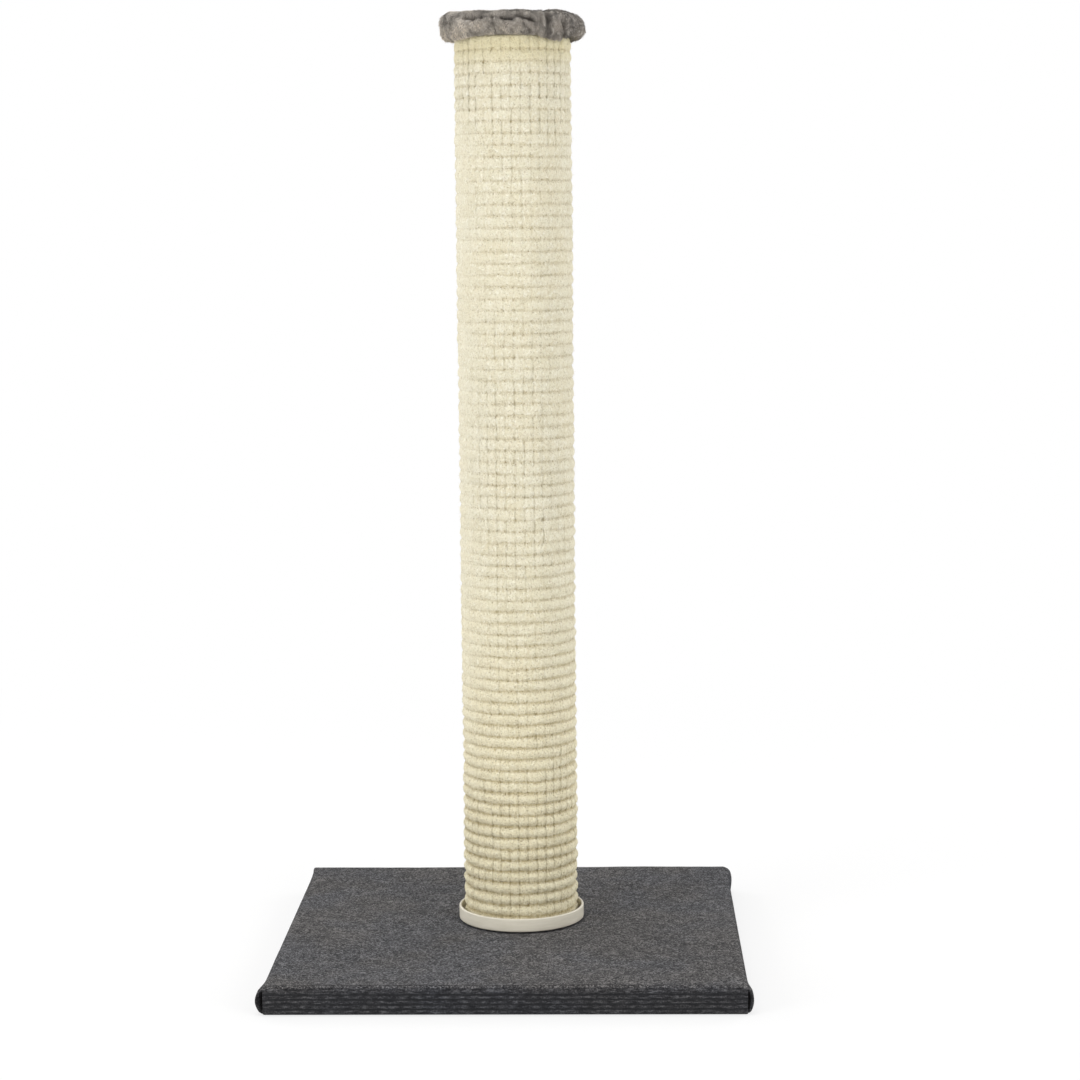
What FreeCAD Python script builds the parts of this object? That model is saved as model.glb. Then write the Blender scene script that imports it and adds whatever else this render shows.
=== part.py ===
import FreeCAD, Part
import math
import os
import Sketcher

# A cat scratching post: a carpet-wrapped board on the floor, a plastic collar bolted onto it, a
# cardboard tube in a sleeve of woven sisal, and a round padded cap in plush. Sizes are in
# millimetres. The floor is z = 0, +Z is up, the front is towards -Y and the board's middle is
# x = y = 0. Every round piece of the post stands on one upright axis, beside the board's middle.

SIZES = {
    # the base
    "base_width": 400.0,
    "base_depth": 400.0,
    "board_thickness": 18.0,
    "board_corner_radius": 2.0,
    "carpet_thickness": 3.2,
    "carpet_top_bend": 4.5,
    "carpet_bottom_bend": 3.0,
    "carpet_flap": 45.0,
    "carpet_seam": 0.8,
    "cheek_swell": 3.4,
    "cheek_length": 62.0,
    "wrap_clearance": 0.15,
    # where the post stands on the base, from the board's middle
    "post_right": 7.0,
    "post_back": 18.0,
    # wire staples
    "staple_crown": 11.0,
    "staple_wire": 1.2,
    "staple_leg": 9.0,
    "staple_sink": 0.5,
    "staple_dimple": 0.4,
    "staples_per_side": 4,
    "tube_staple_leg": 18.0,
    "tube_staples": 4,
    # the bolt under the base and the bolt under the cap
    "thread_diameter": 8.0,
    "thread_clearance": 0.05,
    "bolt_hole": 9.0,
    "foot_bolt_length": 50.0,
    "cap_bolt_length": 35.0,
    "hexagon_width": 13.0,
    "hexagon_height": 5.3,
    "cap_bolt_head": 16.0,
    "washer_diameter": 30.0,
    "washer_thickness": 2.0,
    "counterbore_clearance": 2.0,
    "counterbore_depth": 8.0,
    # tee nuts
    "nut_flange_diameter": 22.0,
    "nut_flange_thickness": 1.5,
    "nut_barrel_diameter": 10.0,
    "nut_barrel_length": 10.5,
    "nut_prongs": 4,
    "nut_prong_length": 6.0,
    "nut_prong_width": 3.0,
    # the plastic collar
    "collar_height": 12.0,
    "collar_wall": 2.2,
    "collar_floor": 2.5,
    "collar_gap": 3.4,
    "spigot_height": 10.0,
    "spigot_wall": 2.0,
    "spigot_clearance": 0.3,
    "boss_diameter": 22.0,
    "collar_ribs": 8,
    "collar_rib_thickness": 1.8,
    # the post
    "tube_diameter": 90.0,
    "tube_wall": 5.0,
    "tube_length": 774.0,
    "plug_thickness": 22.0,
    "plug_clearance": 0.2,
    "sisal_thickness": 5.3,
    "sisal_seam": 0.8,
    "glue_clearance": 0.1,
    # the cap
    "disc_diameter": 110.0,
    "disc_thickness": 9.0,
    "pad_thickness": 5.5,
    "plush_top": 4.2,
    "plush_side": 9.2,
    "plush_flap": 3.0,
    "plush_flap_width": 22.0,
    "plush_clearance": 0.3,
    "cap_staples": 6,
    "cap_staple_leg": 5.0,
}

doc = FreeCAD.newDocument("ScratchingPost")
sheet = doc.addObject("Spreadsheet::Sheet", "Sizes")
for row, (alias, number) in enumerate(SIZES.items(), start=1):
    sheet.set(f"A{row}", alias)
    sheet.set(f"B{row}", str(number))
    sheet.setAlias(f"B{row}", alias)
doc.recompute()


def value(expression):
    """The plain number that an expression over the sheet works out to."""
    number = sheet.evalExpression(str(expression))
    return float(getattr(number, "Value", number))


# Levels up the post and radii that more than one piece shares, as expressions over the sheet.
BOARD_LEVEL = "Sizes.carpet_thickness"
BOARD_TOP = f"({BOARD_LEVEL} + Sizes.board_thickness)"
BASE_TOP = f"({BOARD_TOP} + Sizes.carpet_thickness)"
TUBE_LEVEL = f"({BASE_TOP} + Sizes.collar_floor)"
FOOT_PLUG_LEVEL = f"({TUBE_LEVEL} + Sizes.spigot_height)"
TUBE_TOP = f"({TUBE_LEVEL} + Sizes.tube_length)"
HEAD_PLUG_LEVEL = f"({TUBE_TOP} - Sizes.plug_thickness)"
DISC_LEVEL = f"({TUBE_TOP} + Sizes.plush_flap)"
DISC_TOP = f"({DISC_LEVEL} + Sizes.disc_thickness)"

TUBE_RADIUS = "(Sizes.tube_diameter / 2)"
TUBE_BORE = f"({TUBE_RADIUS} - Sizes.tube_wall)"
SISAL_BORE = f"({TUBE_RADIUS} + Sizes.glue_clearance)"
SISAL_RADIUS = f"({TUBE_RADIUS} + Sizes.sisal_thickness)"
COLLAR_BORE = f"({SISAL_RADIUS} + Sizes.collar_gap)"
COLLAR_RADIUS = f"({COLLAR_BORE} + Sizes.collar_wall)"
SPIGOT_RADIUS = f"({TUBE_BORE} - Sizes.spigot_clearance)"
SPIGOT_BORE = f"({SPIGOT_RADIUS} - Sizes.spigot_wall)"
BOSS_RADIUS = "(Sizes.boss_diameter / 2)"
PLUG_RADIUS = f"({TUBE_BORE} - Sizes.plug_clearance)"
BOLT_HOLE_RADIUS = "(Sizes.bolt_hole / 2)"
THREAD_RADIUS = "(Sizes.thread_diameter / 2)"
NUT_RADIUS = "(Sizes.nut_barrel_diameter / 2)"
DISC_RADIUS = "(Sizes.disc_diameter / 2)"
COVER_BORE = f"({DISC_RADIUS} + Sizes.plush_clearance)"
CAP_RADIUS = f"({COVER_BORE} + Sizes.plush_side)"
FLAP_BORE = f"({DISC_RADIUS} - Sizes.plush_flap_width)"
HALF_WIDTH = "(Sizes.base_width / 2)"
HALF_DEPTH = "(Sizes.base_depth / 2)"


# --- drawing and making features ---------------------------------------------------------------

def new_body(label, level="0", on_post=True):
    """A body for one sub-part, standing at a level, on the post's axis or in the board's middle."""
    body = doc.addObject("PartDesign::Body", label)
    body.Label = label
    if on_post:
        body.setExpression(".Placement.Base.x", "Sizes.post_right")
        body.setExpression(".Placement.Base.y", "Sizes.post_back")
    body.setExpression(".Placement.Base.z", level)
    return body


def origin_part(body, role):
    """One of a body's own origin planes or axes."""
    return next(part for part in body.Origin.OriginFeatures if part.Role == role)


def new_sketch(body, name, plane="XZ_Plane", lift="0"):
    """A sketch on one of the body's own origin planes, moved along the plane's normal by lift."""
    sketch = body.newObject("Sketcher::SketchObject", f"{body.Name}_{name}")
    sketch.AttachmentSupport = [(origin_part(body, plane), "")]
    sketch.MapMode = "FlatFace"
    sketch.setExpression("AttachmentOffset.Base.z", lift)
    return sketch


def pin(sketch, curve, point, across, up):
    """Hold one point of a curve at a place that two expressions give."""
    for kind, place in (("DistanceX", across), ("DistanceY", up)):
        number = sketch.addConstraint(Sketcher.Constraint(kind, curve, point, value(place)))
        sketch.setExpression(f"Constraints[{number}]", str(place))


def bowed_side(start, end, radius):
    """The shorter arc from start to end, bowed out to the right of the way it runs."""
    chord = end - start
    left = FreeCAD.Vector(-chord.y, chord.x, 0).normalize()
    centre = (start + end) / 2 + left * math.sqrt(radius ** 2 - (chord.Length / 2) ** 2)
    turns = [math.atan2(point.y - centre.y, point.x - centre.x) for point in (start, end)]
    if turns[1] < turns[0]:
        turns[1] += 2 * math.pi
    return Part.ArcOfCircle(Part.Circle(centre, FreeCAD.Vector(0, 0, 1), radius), *turns)


def outline(sketch, corners):
    """A closed outline, drawn anticlockwise. A corner is (across, up), or (across, up, radius)
    where the side after it is an arc bowed out of the outline."""
    base = sketch.GeometryCount
    points = [FreeCAD.Vector(value(corner[0]), value(corner[1]), 0) for corner in corners]
    for number, corner in enumerate(corners):
        start = points[number]
        end = points[(number + 1) % len(corners)]
        if len(corner) == 2:
            sketch.addGeometry(Part.LineSegment(start, end))
            continue
        curve = sketch.addGeometry(bowed_side(start, end, value(corner[2])))
        bend = sketch.addConstraint(Sketcher.Constraint("Radius", curve, value(corner[2])))
        sketch.setExpression(f"Constraints[{bend}]", corner[2])
    for number, corner in enumerate(corners):
        follower = base + (number + 1) % len(corners)
        sketch.addConstraint(Sketcher.Constraint("Coincident", base + number, 2, follower, 1))
        pin(sketch, base + number, 1, corner[0], corner[1])


def quarter_turn(across, up, radius, first, flats):
    """Corners round a quarter circle about (across, up), drawn anticlockwise in equal flats.

    first is the angle in degrees that the turn starts from.
    """
    angles = [first + 90 * step / flats for step in range(flats + 1)]
    return [
        (f"({across} + {radius} * cos({angle} deg))", f"({up} + {radius} * sin({angle} deg))")
        for angle in angles
    ]


def rectangle(sketch, left, right, low, high):
    """A closed rectangle between four expressions."""
    outline(sketch, [(left, low), (right, low), (right, high), (left, high)])


def circle(sketch, radius, across="0", up="0"):
    """A circle of a given radius about a point."""
    centre = FreeCAD.Vector(value(across), value(up), 0)
    curve = sketch.addGeometry(Part.Circle(centre, FreeCAD.Vector(0, 0, 1), value(radius)))
    size = sketch.addConstraint(Sketcher.Constraint("Radius", curve, value(radius)))
    sketch.setExpression(f"Constraints[{size}]", radius)
    pin(sketch, curve, 3, across, up)


def feature(body, kind, name, sketch, length=None, reverse=False, centred=False):
    """A pad, pocket, revolution or groove of a sketch. It has to change the body's volume."""
    before = body.Shape.Volume if body.Tip else 0.0
    made = body.newObject(f"PartDesign::{kind}", f"{body.Name}_{name}")
    made.Profile = sketch
    if kind in ("Revolution", "Groove"):
        made.ReferenceAxis = (sketch, ["V_Axis"])
        made.Angle = 360
    elif length is None:
        made.Type = "ThroughAll"
    else:
        made.setExpression("Length", length)
    made.Midplane = centred
    made.Reversed = reverse
    doc.recompute()
    change = body.Shape.Volume - before
    wanted = -1 if kind in ("Pocket", "Groove") else 1
    if change * wanted <= 1e-6:
        raise ValueError(f"{made.Name} changes nothing")
    return made


def lathe(body, name, corners):
    """A solid turned about the body's own upright axis from an outline of (radius, height)."""
    sketch = new_sketch(body, name)
    outline(sketch, corners)
    return feature(body, "Revolution", f"{name}_turned", sketch)


def ring_of(body, name, original, count):
    """Copies of a feature round the body's upright axis."""
    ring = body.newObject("PartDesign::PolarPattern", f"{body.Name}_{name}")
    ring.Originals = [original]
    ring.Axis = (origin_part(body, "Z_Axis"), [""])
    ring.Angle = 360
    ring.setExpression("Occurrences", count)
    body.Tip = ring
    doc.recompute()
    return ring


def rows_of(body, name, original, along, across, count, length, width):
    """A row of a feature along one axis of its sketch, and the same row on the opposite side."""
    rows = body.newObject("PartDesign::LinearPattern", f"{body.Name}_{name}")
    rows.Originals = [original]
    rows.Direction = (original.Profile[0], [along])
    rows.setExpression("Length", length)
    rows.setExpression("Occurrences", count)
    rows.Direction2 = (original.Profile[0], [across])
    rows.setExpression("Length2", width)
    rows.Occurrences2 = 2
    body.Tip = rows
    doc.recompute()
    return rows


def mirror(body, name, originals, plane):
    """Copies of features on the other side of one of the body's origin planes."""
    copy = body.newObject("PartDesign::Mirrored", f"{body.Name}_{name}")
    copy.Originals = originals
    copy.MirrorPlane = (origin_part(body, plane), [""])
    body.Tip = copy
    doc.recompute()
    return copy


def ease_edges(body, kind, name, size, chosen):
    """A fillet or chamfer on every edge of the body's shape that the test picks."""
    source = body.Tip
    edges = [f"Edge{n}" for n, edge in enumerate(body.Shape.Edges, start=1) if chosen(edge)]
    eased = body.newObject(f"PartDesign::{kind}", f"{body.Name}_{name}")
    eased.Base = (source, edges)
    eased.setExpression("Radius" if kind == "Fillet" else "Size", size)
    doc.recompute()
    return eased


def upright(edge):
    """Whether an edge is straight and stands along Z."""
    low, high = edge.BoundBox.ZMin, edge.BoundBox.ZMax
    return abs(edge.Length - (high - low)) < 1e-6


def lies_at(level):
    """A test for edges that lie flat at a height."""
    height = value(level)

    def flat_there(edge):
        return max(abs(edge.BoundBox.ZMin - height), abs(edge.BoundBox.ZMax - height)) < 1e-6

    return flat_there


# --- staples -----------------------------------------------------------------------------------

def staple_rows(body, kind, parts, depth, lift, reverse):
    """Rows of one part of a flap staple, a rectangle for each of parts, along all four sides.

    parts holds (start, end, width) along a staple from its middle. The staples stand midway
    across the folded-under flap, in a row along each side of the base.
    """
    inset = "(Sizes.carpet_flap / 2)"
    sides = (("front", HALF_WIDTH, HALF_DEPTH), ("left", HALF_DEPTH, HALF_WIDTH))
    for side, half_row, half_across in sides:
        first = f"(-{half_row} + Sizes.carpet_flap)"
        line = f"(-{half_across} + {inset})"
        row = new_sketch(body, f"{side}_staple", "XY_Plane", lift)
        for start, end, width in parts:
            along = (f"({first} + {start})", f"({first} + {end})")
            across = (f"({line} - {width} / 2)", f"({line} + {width} / 2)")
            if side == "left":
                along, across = across, along
            rectangle(row, along[0], along[1], across[0], across[1])
        one = feature(body, kind, f"{side}_{kind.lower()}", row, depth, reverse=reverse)
        length = f"2 * ({half_row} - Sizes.carpet_flap)"
        width = f"2 * ({half_across} - {inset})"
        ways = ("H_Axis", "V_Axis") if side == "front" else ("V_Axis", "H_Axis")
        rows_of(body, f"{side}_rows", one, *ways, "Sizes.staples_per_side", length, width)


HALF_CROWN = "(Sizes.staple_crown / 2)"
STAPLE_LEGS = (
    (f"(-{HALF_CROWN})", f"(-{HALF_CROWN} + Sizes.staple_wire)", "Sizes.staple_wire"),
    (f"({HALF_CROWN} - Sizes.staple_wire)", HALF_CROWN, "Sizes.staple_wire"),
)
CROWN_TOP = "(Sizes.staple_sink + Sizes.staple_wire)"


def tube_staple(body, kind, name, outer, plug_foot="0"):
    """Staples shot in through the tube's wall at mid-height of a plug, crown upright.

    plug_foot is the plug's height over the body's own origin.
    """
    middle = f"({plug_foot} + Sizes.plug_thickness / 2)"
    crown_face = f"({TUBE_RADIUS} - Sizes.staple_sink)"
    crown_back = f"({crown_face} - Sizes.staple_wire)"
    tip = f"({crown_back} - Sizes.tube_staple_leg)"
    low = (f"({middle} - {HALF_CROWN})", f"({middle} - {HALF_CROWN} + Sizes.staple_wire)")
    high = (f"({middle} + {HALF_CROWN} - Sizes.staple_wire)", f"({middle} + {HALF_CROWN})")
    side = new_sketch(body, name)
    outline(side, [
        (tip, low[0]), (outer, low[0]), (outer, high[1]), (tip, high[1]),
        (tip, high[0]), (crown_back, high[0]), (crown_back, low[1]), (tip, low[1]),
    ])
    one = feature(body, kind, f"{name}_made", side, "Sizes.staple_wire", centred=True)
    return ring_of(body, f"{name}_ring", one, "Sizes.tube_staples")


def cap_staple(body, kind, name, disc_level):
    """Staples under the cap, through the gathered plush and into the disc, crown tangential.

    disc_level is the height of the disc's underside over the body's own origin.
    """
    low = f"({disc_level} - Sizes.plush_flap + Sizes.staple_sink)"
    crown_back = f"({low} + Sizes.staple_wire)"
    tip = f"({crown_back} + Sizes.cap_staple_leg)"
    inner = f"({HALF_CROWN} - Sizes.staple_wire)"
    front = new_sketch(body, name, "YZ_Plane", f"({DISC_RADIUS} - Sizes.plush_flap_width / 2)")
    outline(front, [
        (f"-{HALF_CROWN}", low), (HALF_CROWN, low), (HALF_CROWN, tip), (inner, tip),
        (inner, crown_back), (f"-{inner}", crown_back), (f"-{inner}", tip),
        (f"-{HALF_CROWN}", tip),
    ])
    one = feature(body, kind, f"{name}_made", front, "Sizes.staple_wire", centred=True)
    return ring_of(body, f"{name}_ring", one, "Sizes.cap_staples")


# --- the base ----------------------------------------------------------------------------------

def make_base_board():
    """Pressed wood, square, with a counterbored bolt hole from beneath and the staples' holes."""
    body = new_body("base_board", BOARD_LEVEL, on_post=False)
    plan = new_sketch(body, "plan", "XY_Plane")
    half_width = f"({HALF_WIDTH} - Sizes.carpet_thickness - Sizes.wrap_clearance)"
    half_depth = f"({HALF_DEPTH} - Sizes.carpet_thickness - Sizes.wrap_clearance)"
    rectangle(plan, f"-{half_width}", half_width, f"-{half_depth}", half_depth)
    feature(body, "Pad", "slab", plan, "Sizes.board_thickness")
    ease_edges(body, "Fillet", "corners", "Sizes.board_corner_radius", upright)
    bolt_place = new_sketch(body, "bolt_place", "XY_Plane")
    circle(bolt_place, BOLT_HOLE_RADIUS, "Sizes.post_right", "Sizes.post_back")
    doc.recompute()
    slab_volume = body.Shape.Volume
    bore = body.newObject("PartDesign::Hole", "base_board_bolt_hole")
    bore.Profile = bolt_place
    bore.Reversed = True
    bore.ThreadType = "None"
    bore.DepthType = "ThroughAll"
    bore.setExpression("Diameter", "Sizes.bolt_hole")
    bore.HoleCutType = "Counterbore"
    bore.HoleCutCustomValues = True
    across = "Sizes.washer_diameter + 2 * Sizes.counterbore_clearance"
    bore.setExpression("HoleCutDiameter", across)
    bore.setExpression("HoleCutDepth", "Sizes.counterbore_depth")
    doc.recompute()
    wide = math.pi * (value(across) / 2) ** 2 * value("Sizes.counterbore_depth")
    if slab_volume - body.Shape.Volume < wide:
        raise ValueError("the bolt hole isn't cut")
    reach = f"({CROWN_TOP} + Sizes.staple_leg - {BOARD_LEVEL})"
    staple_rows(body, "Pocket", STAPLE_LEGS, reach, "0", reverse=True)
    return body


def cheek_section(sketch, side, swell):
    """A fold's section: the edge of the carpet wall, bowed out sideways by swell."""
    wall = f"({side} * ({HALF_WIDTH} - Sizes.carpet_thickness))"
    face = f"({side} * {HALF_WIDTH})"
    low = "Sizes.carpet_bottom_bend"
    high = f"({BASE_TOP} - Sizes.carpet_top_bend)"
    radius = f"((({high} - {low}) ^ 2 / 4 + ({swell}) ^ 2) / (2 * {swell}))"
    if side == 1:
        outline(sketch, [(wall, low), (face, low, radius), (face, high), (wall, high)])
    else:
        outline(sketch, [(face, low), (wall, low), (wall, high), (face, high, radius)])


def make_base_carpet():
    """One sheet of ribbed carpet over the board, folded under its four sides as flaps.

    At each corner the surplus is folded in under the left or right side, which swells there
    into a soft cheek. The flaps meet beneath in mitred seams.
    """
    body = new_body("base_carpet", on_post=False)
    plan = new_sketch(body, "plan", "XY_Plane")
    rectangle(plan, f"-{HALF_WIDTH}", HALF_WIDTH, f"-{HALF_DEPTH}", HALF_DEPTH)
    feature(body, "Pad", "block", plan, BASE_TOP)
    corner = "(Sizes.board_corner_radius + Sizes.carpet_thickness)"
    ease_edges(body, "Fillet", "corners", corner, upright)
    ease_edges(body, "Fillet", "top_bend", "Sizes.carpet_top_bend", lies_at(BASE_TOP))
    ease_edges(body, "Chamfer", "bottom_bend", "Sizes.carpet_bottom_bend", lies_at("0"))

    # the cheek's fullest section is a little way in from the corner
    stations = (
        ("Sizes.carpet_bottom_bend", "(Sizes.cheek_swell * 0.7)"),
        ("(Sizes.cheek_length / 5)", "Sizes.cheek_swell"),
        ("Sizes.cheek_length", "(Sizes.cheek_swell / 10)"),
    )
    cheeks = []
    for side, hand in ((1, "right"), (-1, "left")):
        sections = []
        for number, (way_in, swell) in enumerate(stations):
            lift = f"({HALF_DEPTH} - {way_in})"
            section = new_sketch(body, f"{hand}_cheek_{number}", "XZ_Plane", lift)
            cheek_section(section, side, swell)
            sections.append(section)
        doc.recompute()
        loft = body.newObject("PartDesign::AdditiveLoft", f"base_carpet_{hand}_cheek")
        loft.Profile = sections[0]
        loft.Sections = sections[1:]
        loft.Ruled = True
        doc.recompute()
        cheeks.append(loft)
    mirror(body, "back_cheeks", cheeks, "XZ_Plane")

    window = new_sketch(body, "window", "XY_Plane")
    across = f"({HALF_WIDTH} - Sizes.carpet_flap)"
    along = f"({HALF_DEPTH} - Sizes.carpet_flap)"
    rectangle(window, f"-{across}", across, f"-{along}", along)
    feature(body, "Pocket", "window_cut", window, "Sizes.carpet_thickness", reverse=True)
    room = new_sketch(body, "room", "XY_Plane", BOARD_LEVEL)
    across = f"({HALF_WIDTH} - Sizes.carpet_thickness)"
    along = f"({HALF_DEPTH} - Sizes.carpet_thickness)"
    rectangle(room, f"-{across}", across, f"-{along}", along)
    feature(body, "Pocket", "room_for_board", room, "Sizes.board_thickness", reverse=True)
    bolt_place = new_sketch(body, "bolt_place", "XY_Plane", BASE_TOP)
    circle(bolt_place, BOLT_HOLE_RADIUS, "Sizes.post_right", "Sizes.post_back")
    feature(body, "Pocket", "bolt_hole", bolt_place, "Sizes.carpet_thickness")

    seams = []
    gap = "(Sizes.carpet_seam / 2)"
    for side, hand in ((1, "right"), (-1, "left")):
        inner = (f"({HALF_WIDTH} - Sizes.carpet_flap)", f"({HALF_DEPTH} - Sizes.carpet_flap)")
        run = f"(Sizes.carpet_flap - {corner})"
        outer = (f"({inner[0]} + {run})", f"({inner[1]} + {run})")
        seam = new_sketch(body, f"{hand}_seam", "XY_Plane")
        corners = [
            (f"({side} * ({inner[0]} - {gap}))", f"-({inner[1]} + {gap})"),
            (f"({side} * ({inner[0]} - 2 * {gap}))", f"-({inner[1]} - 2 * {gap})"),
            (f"({side} * ({inner[0]} + {gap}))", f"-({inner[1]} - {gap})"),
            (f"({side} * ({outer[0]} + {gap}))", f"-({outer[1]} - {gap})"),
            (f"({side} * ({outer[0]} - {gap}))", f"-({outer[1]} + {gap})"),
        ]
        outline(seam, corners)
        seams.append(feature(body, "Pocket", f"{hand}_mitre", seam, BOARD_LEVEL, reverse=True))
    mirror(body, "back_mitres", seams, "XZ_Plane")

    half_dimple = f"({HALF_CROWN} + Sizes.staple_dimple)"
    dimple = (f"(-{half_dimple})", half_dimple, "(Sizes.staple_wire + 2 * Sizes.staple_dimple)")
    staple_rows(body, "Pocket", (dimple,), BOARD_LEVEL, "0", reverse=True)
    return body


def make_base_staples():
    """The staples that hold the flaps to the board, their crowns sunk in the pile."""
    body = new_body("base_staples", on_post=False)
    crown = ((f"(-{HALF_CROWN})", HALF_CROWN, "Sizes.staple_wire"),)
    staple_rows(body, "Pad", crown, "Sizes.staple_wire", "Sizes.staple_sink", reverse=False)
    staple_rows(body, "Pad", STAPLE_LEGS, "Sizes.staple_leg", CROWN_TOP, reverse=False)
    return body


def make_base_collar():
    """The moulded collar: a dish round the post's foot, and a ribbed spigot inside the tube."""
    body = new_body("base_collar", BASE_TOP)
    lip = "(Sizes.collar_wall / 2)"
    lip_base = f"(Sizes.collar_height - {lip})"
    spigot_top = "(Sizes.collar_floor + Sizes.spigot_height)"
    lathe(body, "dish", [
        (BOLT_HOLE_RADIUS, "0"),
        (COLLAR_RADIUS, "0"),
        *quarter_turn(f"({COLLAR_RADIUS} - {lip})", lip_base, lip, 0, 1),
        (COLLAR_BORE, lip_base),
        (COLLAR_BORE, "Sizes.collar_floor"),
        (SPIGOT_RADIUS, "Sizes.collar_floor"),
        (SPIGOT_RADIUS, spigot_top),
        (SPIGOT_BORE, spigot_top),
        (SPIGOT_BORE, "Sizes.collar_floor"),
        (BOSS_RADIUS, "Sizes.collar_floor"),
        (BOSS_RADIUS, spigot_top),
        (BOLT_HOLE_RADIUS, spigot_top),
    ])
    side = new_sketch(body, "rib")
    root = f"({BOSS_RADIUS} - (Sizes.boss_diameter - Sizes.bolt_hole) / 4)"
    rectangle(side, root, f"({SPIGOT_BORE} + Sizes.spigot_wall / 2)", "Sizes.collar_floor / 2",
              spigot_top)
    rib = feature(body, "Pad", "rib_web", side, "Sizes.collar_rib_thickness", centred=True)
    ring_of(body, "ribs", rib, "Sizes.collar_ribs")
    return body


# --- fasteners ---------------------------------------------------------------------------------

def make_foot_bolt():
    """The hexagon bolt from beneath: head down, its chamfered tip up in the tee nut."""
    head_level = f"({BOARD_LEVEL} + Sizes.counterbore_depth - Sizes.washer_thickness)"
    body = new_body("foot_bolt", f"({head_level} - Sizes.hexagon_height)")
    plan = new_sketch(body, "hexagon", "XY_Plane")
    reach = "(Sizes.hexagon_width / sqrt(3))"
    turns = [f"({reach} * cos({60 * corner} deg))" for corner in range(6)]
    lifts = [f"({reach} * sin({60 * corner} deg))" for corner in range(6)]
    outline(plan, list(zip(turns, lifts)))
    feature(body, "Pad", "head", plan, "Sizes.hexagon_height")
    chamfer = "(Sizes.thread_diameter / 10)"
    top = "(Sizes.hexagon_height + Sizes.foot_bolt_length)"
    lathe(body, "shank", [
        ("0", "Sizes.hexagon_height / 2"),
        (THREAD_RADIUS, "Sizes.hexagon_height / 2"),
        (THREAD_RADIUS, f"({top} - {chamfer})"),
        (f"({THREAD_RADIUS} - {chamfer})", top),
        ("0", top),
    ])
    return body


def make_foot_washer():
    """The wide flat washer that spreads the bolt's pull in the counterbore."""
    level = f"({BOARD_LEVEL} + Sizes.counterbore_depth - Sizes.washer_thickness)"
    body = new_body("foot_washer", level)
    lathe(body, "ring", [
        (BOLT_HOLE_RADIUS, "0"),
        ("(Sizes.washer_diameter / 2)", "0"),
        ("(Sizes.washer_diameter / 2)", "Sizes.washer_thickness"),
        (BOLT_HOLE_RADIUS, "Sizes.washer_thickness"),
    ])
    return body


def make_cap_bolt():
    """The countersunk bolt held in the cap's disc, which screws the whole cap onto the post."""
    body = new_body("cap_bolt", f"({DISC_TOP} - Sizes.cap_bolt_length)")
    head_radius = "(Sizes.cap_bolt_head / 2)"
    head_foot = f"(Sizes.cap_bolt_length - ({head_radius} - {THREAD_RADIUS}))"
    lathe(body, "bolt", [
        ("0", "0"),
        (THREAD_RADIUS, "0"),
        (THREAD_RADIUS, head_foot),
        (head_radius, "Sizes.cap_bolt_length"),
        ("0", "Sizes.cap_bolt_length"),
    ])
    return body


PRONG_INNER = "(Sizes.nut_flange_diameter / 2 - Sizes.nut_flange_thickness)"
PRONG_OUTER = "(Sizes.nut_flange_diameter / 2)"


def prong_section(sketch):
    """The plan of one tee nut prong, at the flange's edge."""
    half = "(Sizes.nut_prong_width / 2)"
    rectangle(sketch, PRONG_INNER, f"({PRONG_OUTER} - 0.1 * Sizes.nut_flange_thickness)",
              f"-{half}", half)


def make_tee_nut(label, level, upside_down):
    """A tee nut: barrel and prongs in the plug, flange against the plug's face."""
    body = new_body(label, level)
    sign = "-1" if upside_down else "1"
    bore = f"({THREAD_RADIUS} + Sizes.thread_clearance)"
    barrel = f"({sign} * -Sizes.nut_barrel_length)"
    flange = f"({sign} * Sizes.nut_flange_thickness)"
    corners = [
        (bore, barrel), (NUT_RADIUS, barrel), (NUT_RADIUS, "0"), (PRONG_OUTER, "0"),
        (PRONG_OUTER, flange), (bore, flange),
    ]
    lathe(body, "nut", corners)
    plan = new_sketch(body, "prong", "XY_Plane")
    prong_section(plan)
    prong = feature(body, "Pad", "prong_made", plan, "Sizes.nut_prong_length",
                    reverse=not upside_down)
    ring_of(body, "prongs", prong, "Sizes.nut_prongs")
    return body


# --- the post ----------------------------------------------------------------------------------

def make_plug(label, level, nut_on_top):
    """A turned wooden plug in the tube's end, bored for its tee nut and slotted by the prongs."""
    body = new_body(label, level)
    lathe(body, "plug", [
        (NUT_RADIUS, "0"),
        (PLUG_RADIUS, "0"),
        (PLUG_RADIUS, "Sizes.plug_thickness"),
        (NUT_RADIUS, "Sizes.plug_thickness"),
    ])
    face = "Sizes.plug_thickness" if nut_on_top else "0"
    plan = new_sketch(body, "prong", "XY_Plane", face)
    prong_section(plan)
    slot = feature(body, "Pocket", "prong_slot", plan, "Sizes.nut_prong_length",
                   reverse=not nut_on_top)
    ring_of(body, "prong_slots", slot, "Sizes.nut_prongs")
    tube_staple(body, "Pocket", "staple_holes", TUBE_RADIUS)
    return body


def make_post_tube():
    """The cardboard tube, with the holes and sunk seats of the staples at both ends."""
    body = new_body("post_tube", TUBE_LEVEL)
    lathe(body, "wall", [
        (TUBE_BORE, "0"),
        (TUBE_RADIUS, "0"),
        (TUBE_RADIUS, "Sizes.tube_length"),
        (TUBE_BORE, "Sizes.tube_length"),
    ])
    outside = f"({TUBE_RADIUS} + Sizes.staple_sink)"
    tube_staple(body, "Pocket", "foot_staples", outside, "Sizes.spigot_height")
    head_plug_foot = "(Sizes.tube_length - Sizes.plug_thickness)"
    tube_staple(body, "Pocket", "head_staples", outside, head_plug_foot)
    return body


def make_tube_staples(label, level):
    """The staples through the tube's wall into one plug."""
    body = new_body(label, level)
    tube_staple(body, "Pad", "staple", f"({TUBE_RADIUS} - Sizes.staple_sink)")
    return body


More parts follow.
